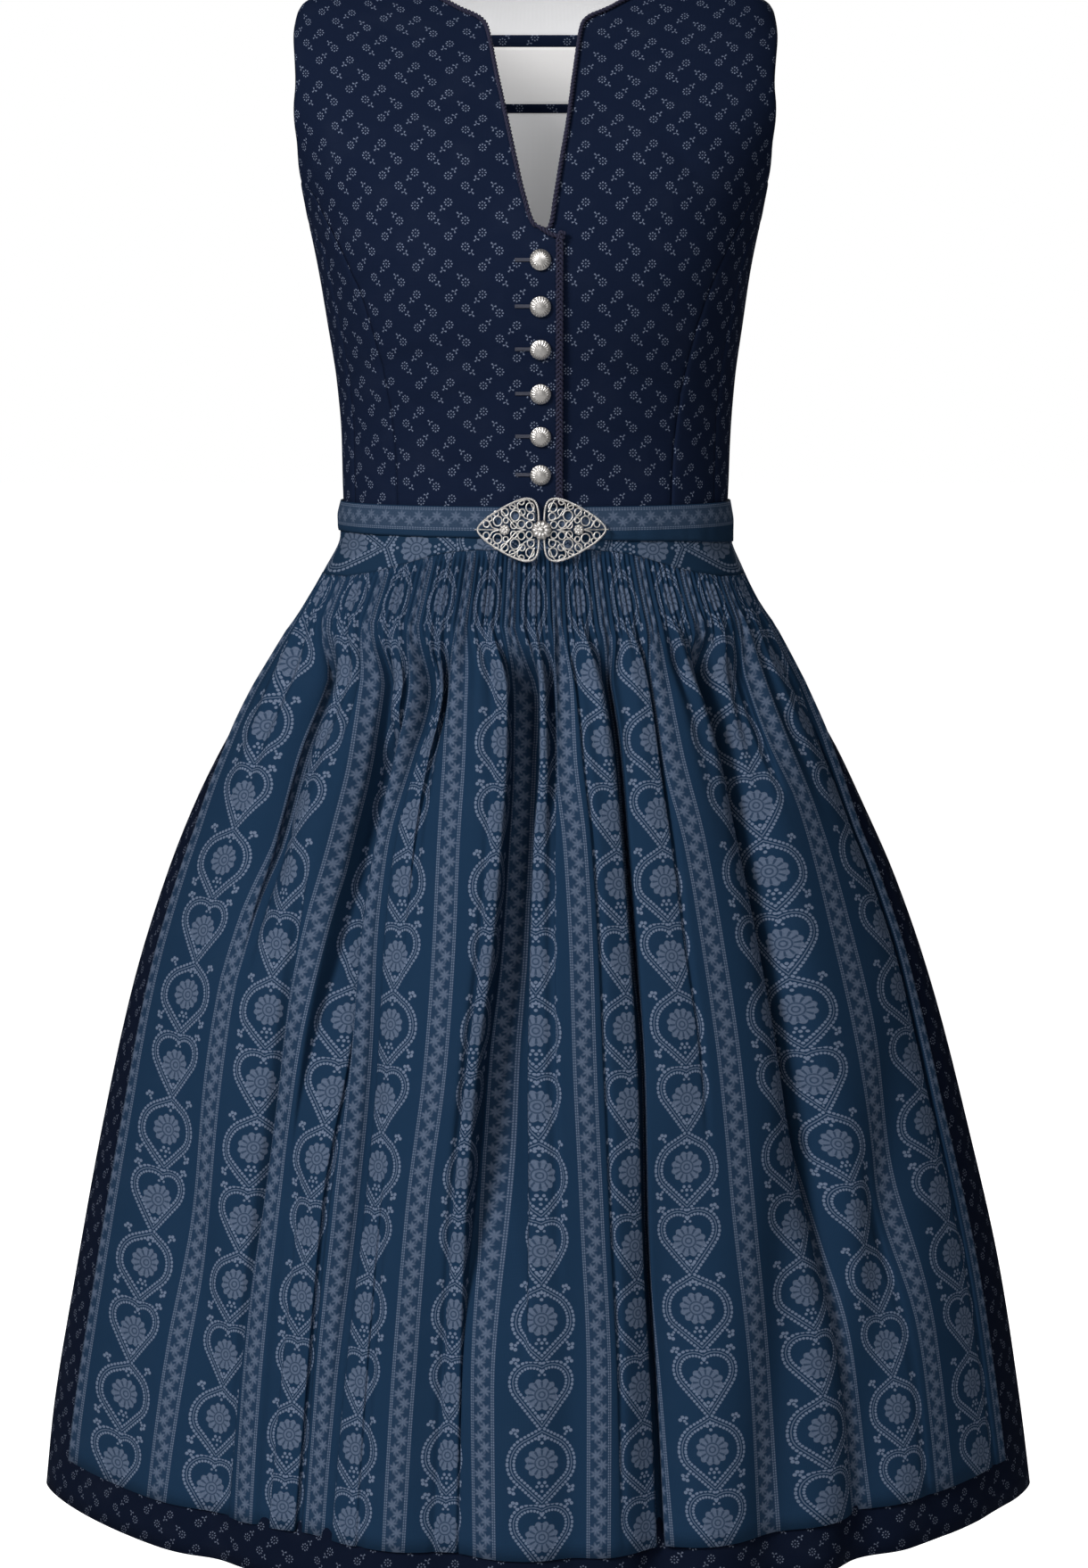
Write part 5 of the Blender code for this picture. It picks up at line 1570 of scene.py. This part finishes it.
Ring = namedtuple("Ring", "out up size")
RINGS = [Ring(0.0066, 0.0134, 0.0024), Ring(0.0062, 0.0078, 0.0020), Ring(0.0116, 0.0166, 0.0015),
         Ring(0.0153, 0.0084, 0.0027), Ring(0.0112, 0.0104, 0.0017), Ring(0.0071, 0.0030, 0.0018),
         Ring(0.0117, 0.0034, 0.0020), Ring(0.0160, 0.0028, 0.0018), Ring(0.0168, 0.0140, 0.0017),
         Ring(0.0212, 0.0104, 0.0020), Ring(0.0253, 0.0052, 0.0025), Ring(0.0262, 0.0096, 0.0014),
         Ring(0.0300, 0.0066, 0.0014), Ring(0.0318, 0.0034, 0.0017), Ring(0.0206, 0.0056, 0.0014)]
BOWS = [((0.0040, 0.0105), (0.0085, 0.0180), (0.0140, 0.0150), (0.0135, 0.0105)),
        ((0.0040, 0.0055), (0.0095, 0.0070), (0.0130, 0.0120), (0.0185, 0.0150)),
        ((0.0090, 0.0000), (0.0140, 0.0010), (0.0185, 0.0060), (0.0235, 0.0120)),
        ((0.0240, 0.0000), (0.0285, 0.0015), (0.0300, 0.0045), (0.0330, 0.0062)),
        ((0.0240, 0.0000), (0.0300, 0.0000), (0.0340, 0.0000), (0.0384, 0.0000))]
RING_STEPS = 20


def wire_lines():
    """The lines of one half: rings and bows, above and below the middle."""
    lines = []
    for up in (1, -1):
        for ring in RINGS:
            turns = np.linspace(0, 2 * math.pi, RING_STEPS + 1)
            lines.append([(ring.out + ring.size * math.cos(turn),
                           up * (ring.up + RING_TALL * ring.size * math.sin(turn))) for turn in turns])
        for bow in BOWS:
            lines.append([(out, up * rise) for out, rise in along(bow, 0.0010)])
    return lines


# %% [markdown]
# Both halves are made from the same lines, turned over for the right. The rim is two strands
# wound together, and the rings and bows are single wires a little further in.

# %% The two halves of the clasp
for side, tag in ((-1, "right"), (1, "left")):
    outline = LEAF + [(out, -up) for out, up in LEAF[-2::-1]]
    rim = along(outline + outline[:1], 0.0005)
    path = [clasp_point(CLASP_X + side * out, CLASP_Z + up, OVER_TIE + RIM_UP) for out, up in rim]
    wires = twist(path, 2, 0.00034, 0.0024)
    for line in wire_lines():
        wires.append([clasp_point(CLASP_X + side * out, CLASP_Z + up, OVER_TIE + WIRE_UP)
                      for out, up in line])
    tubes(f"{tag}_clasp_filigree", wires, 0.00046, f"clasp_{tag}", SILVER)
print("clasp halves made")

# %% [markdown]
# A large rosette hides the hook in the middle, and a small flower sits on each half. Each is a
# spun boss whose outer part is pushed out and up where a petal lies.

# %% Rosettes of the clasp
def petalled(count, reach, rise):
    def shape(vertex):
        r = math.hypot(vertex.co.x, vertex.co.y)
        turn = math.atan2(vertex.co.y, vertex.co.x)
        if r > reach * 0.35:
            grow = 1.0 + 0.13 * (abs(math.cos(count / 2 * turn)) - 0.5) * (r / reach)
            vertex.co.x *= grow
            vertex.co.y *= grow
            vertex.co.z += rise * (abs(math.cos(count / 2 * turn)) - 0.5) * (vertex.co.z > 0.0003)
    return shape


FLOWER = [(0.0, 1.0), (0.12, 0.98), (0.22, 0.88), (0.28, 0.66), (0.34, 0.60), (0.45, 0.70), (0.62, 0.72),
          (0.80, 0.60), (0.93, 0.40), (1.0, 0.15), (0.9, 0.0)]


def flower(name, x, z, size, height, out, node=None, count=10):
    normal = look(NORMALS, around_at(x, CLASP_Z), np.array(CLASP_Z))
    profile = [(r * size, h * height) for r, h in FLOWER]
    place = standing(clasp_point(x, z, out), (normal[0], normal[1], 0.0))
    spun(name, profile, 60, place, node, SILVER, petalled(count, size, height * 0.3))


flower("clasp_middle_rosette", CLASP_X, CLASP_Z, 0.0056, 0.0026, OVER_TIE + CLASP_THICK + 0.0003,
       "clasp_rosette")
for side, tag in ((-1, "right"), (1, "left")):
    flower(f"{tag}_clasp_flower", CLASP_X + side * 0.0214, CLASP_Z, 0.0031, 0.0016, OVER_TIE + 0.0012,
           count=8)

# %% [markdown]
# Every sheet of cloth is listed with the size it was cut to, and with its flat area where
# the cut is not a rectangle, so that a reader can cut the same garment.

# %% Listing the cloth
Cut = namedtuple("Cut", "name width length held rests area")
SHEETS = [
    Cut("back", 0.332, 0.355, "stretched", [], 0.0690),
    Cut("right_underarm", 0.190, 0.250, "stretched", ["back"], 0.0353),
    Cut("left_underarm", 0.190, 0.250, "stretched", ["back"], 0.0357),
    Cut("right_front", 0.175, 0.355, "stretched", ["right_underarm"], 0.0458),
    Cut("left_front", 0.170, 0.355, "stretched", ["left_underarm"], 0.0440),
    Cut("right_side", 0.065, 0.215, "stretched", ["right_front"], 0.0079),
    Cut("left_side", 0.065, 0.215, "stretched", ["left_front"], 0.0078),
    Cut("back_lining", 0.331, 0.354, "stretched", ["back"], 0.0677),
    Cut("right_underarm_lining", 0.190, 0.250, "stretched", ["right_underarm"], 0.0347),
    Cut("left_underarm_lining", 0.190, 0.250, "stretched", ["left_underarm"], 0.0351),
    Cut("bare_label", 0.086, 0.037, "laid", ["back_lining"], None),
    Cut("label_upper_strip", 0.086, 0.010, "laid", ["back_lining"], 0.00066),
    Cut("label_lower_strip", 0.086, 0.010, "laid", ["back_lining"], 0.00050),
    Cut("right_tie", 0.338, 0.024, "stretched", ["yoke_band"], 0.0072),
    Cut("left_tie", 0.331, 0.025, "stretched", ["yoke_band"], 0.0080),
    Cut("yoke_band", 0.376, 0.038, "stretched", ["front_width"], 0.0108),
    Cut("apron_width", 0.715, 0.600, "gathered", ["yoke_band"], None),
    Cut("front_width", 0.800, 0.650, "gathered", ["right_front", "left_front"], None),
    Cut("back_width", 0.800, 0.650, "gathered", ["back"], None),
]

for cut in SHEETS:
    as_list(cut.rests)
print("declared", len(SHEETS), "sheets of cloth")

# %% [markdown]
# The camera stands a little above the waist and looks slightly down. Its focal length is worked
# out from the photograph's height, since the picture's width is cut to fit the dress.

# %% Camera
PHOTO_HEIGHT, FOCAL_PIXELS, SENSOR = 1758.0, 3290.0, 36.0
LOOKS_DOWN = 8.3
camera_data = bpy.data.cameras.new("camera")
camera_data.sensor_width = SENSOR
camera_data.lens = FOCAL_PIXELS / PHOTO_HEIGHT * SENSOR
camera = linked("camera", camera_data)
camera.location = (0.0058, -1.85, -0.2346)
camera.rotation_euler = (math.radians(90 - LOOKS_DOWN), 0.0, 0.0)
bpy.context.scene.camera = camera
bpy.context.scene.view_settings.view_transform = "Standard"
print("focal length", round(camera_data.lens, 1), "mm")

# %% [markdown]
# The picture is lit as in a plain studio: a soft main lamp from the upper left, with two weak
# ones that open the shade. A lamp behind shows the back in the other views. All are broad, so
# that the folds have soft shadows.

# %% Lamps
def lamp(name, place, aim, size, power):
    data = bpy.data.lights.new(name, "AREA")
    data.size = size
    data.energy = power
    light = linked(name, data)
    light.location = place
    light.rotation_euler = (Vector(aim) - Vector(place)).to_track_quat("-Z", "Y").to_euler()


lamp("key", (-1.70, -2.45, 1.05), (0.0, 0.0, -0.50), 0.8, 66.0)
lamp("fill", (0.8, -2.5, 1.0), (0.05, 0.0, -0.15), 1.0, 13.5)
lamp("low", (-0.5, -2.7, -0.8), (0.0, 0.0, -0.75), 0.7, 4.0)
lamp("behind", (0.4, 3.0, 0.9), (0.0, 0.0, -0.40), 1.2, 60.0)
print("lamps", [thing.name for thing in bpy.context.scene.objects if thing.type == "LIGHT"])

# %% [markdown]
# The ground is white where the camera sees it and gives little light of its own, so the dress
# keeps its dark shades. The floor lies well below the hem and is pale and plain.

# %% White ground and floor
WHITE = (1.0, 1.0, 1.0, 1.0)
FLOOR_Z, FLOOR_HALF = -1.6, 30.0
world = bpy.data.worlds.new("white room")
world.use_nodes = True
bpy.context.scene.world = world
tree = world.node_tree
sky = tree.nodes["Background"]
seen = tree.nodes.new("ShaderNodeBackground")
for background, strength in ((sky, 0.06), (seen, 1.0)):
    background.inputs["Color"].default_value = WHITE
    background.inputs["Strength"].default_value = strength
path_node = tree.nodes.new("ShaderNodeLightPath")
blend = tree.nodes.new("ShaderNodeMixShader")
tree.links.new(path_node.outputs["Is Camera Ray"], blend.inputs["Fac"])
tree.links.new(sky.outputs[0], blend.inputs[1])
tree.links.new(seen.outputs[0], blend.inputs[2])
tree.links.new(blend.outputs[0], tree.nodes["World Output"].inputs["Surface"])

bm = bmesh.new()
bmesh.ops.create_grid(bm, x_segments=1, y_segments=1, size=FLOOR_HALF)
bmesh.ops.translate(bm, vec=(0.0, 0.0, FLOOR_Z), verts=bm.verts)
floor = linked("floor", mesh_of("floor", bm))
pale, pale_tree, pale_shader = new_finish("pale floor", 0.9)
pale_shader.inputs["Base Color"].default_value = (0.6, 0.6, 0.6, 1.0)
pale_shader.inputs["Emission Color"].default_value = WHITE
floor_path = pale_tree.nodes.new("ShaderNodeLightPath")
pale_tree.links.new(floor_path.outputs["Is Camera Ray"], pale_shader.inputs["Emission Strength"])
floor.data.materials.append(pale)
print("floor", -FLOOR_Z, "m under the shoulders")
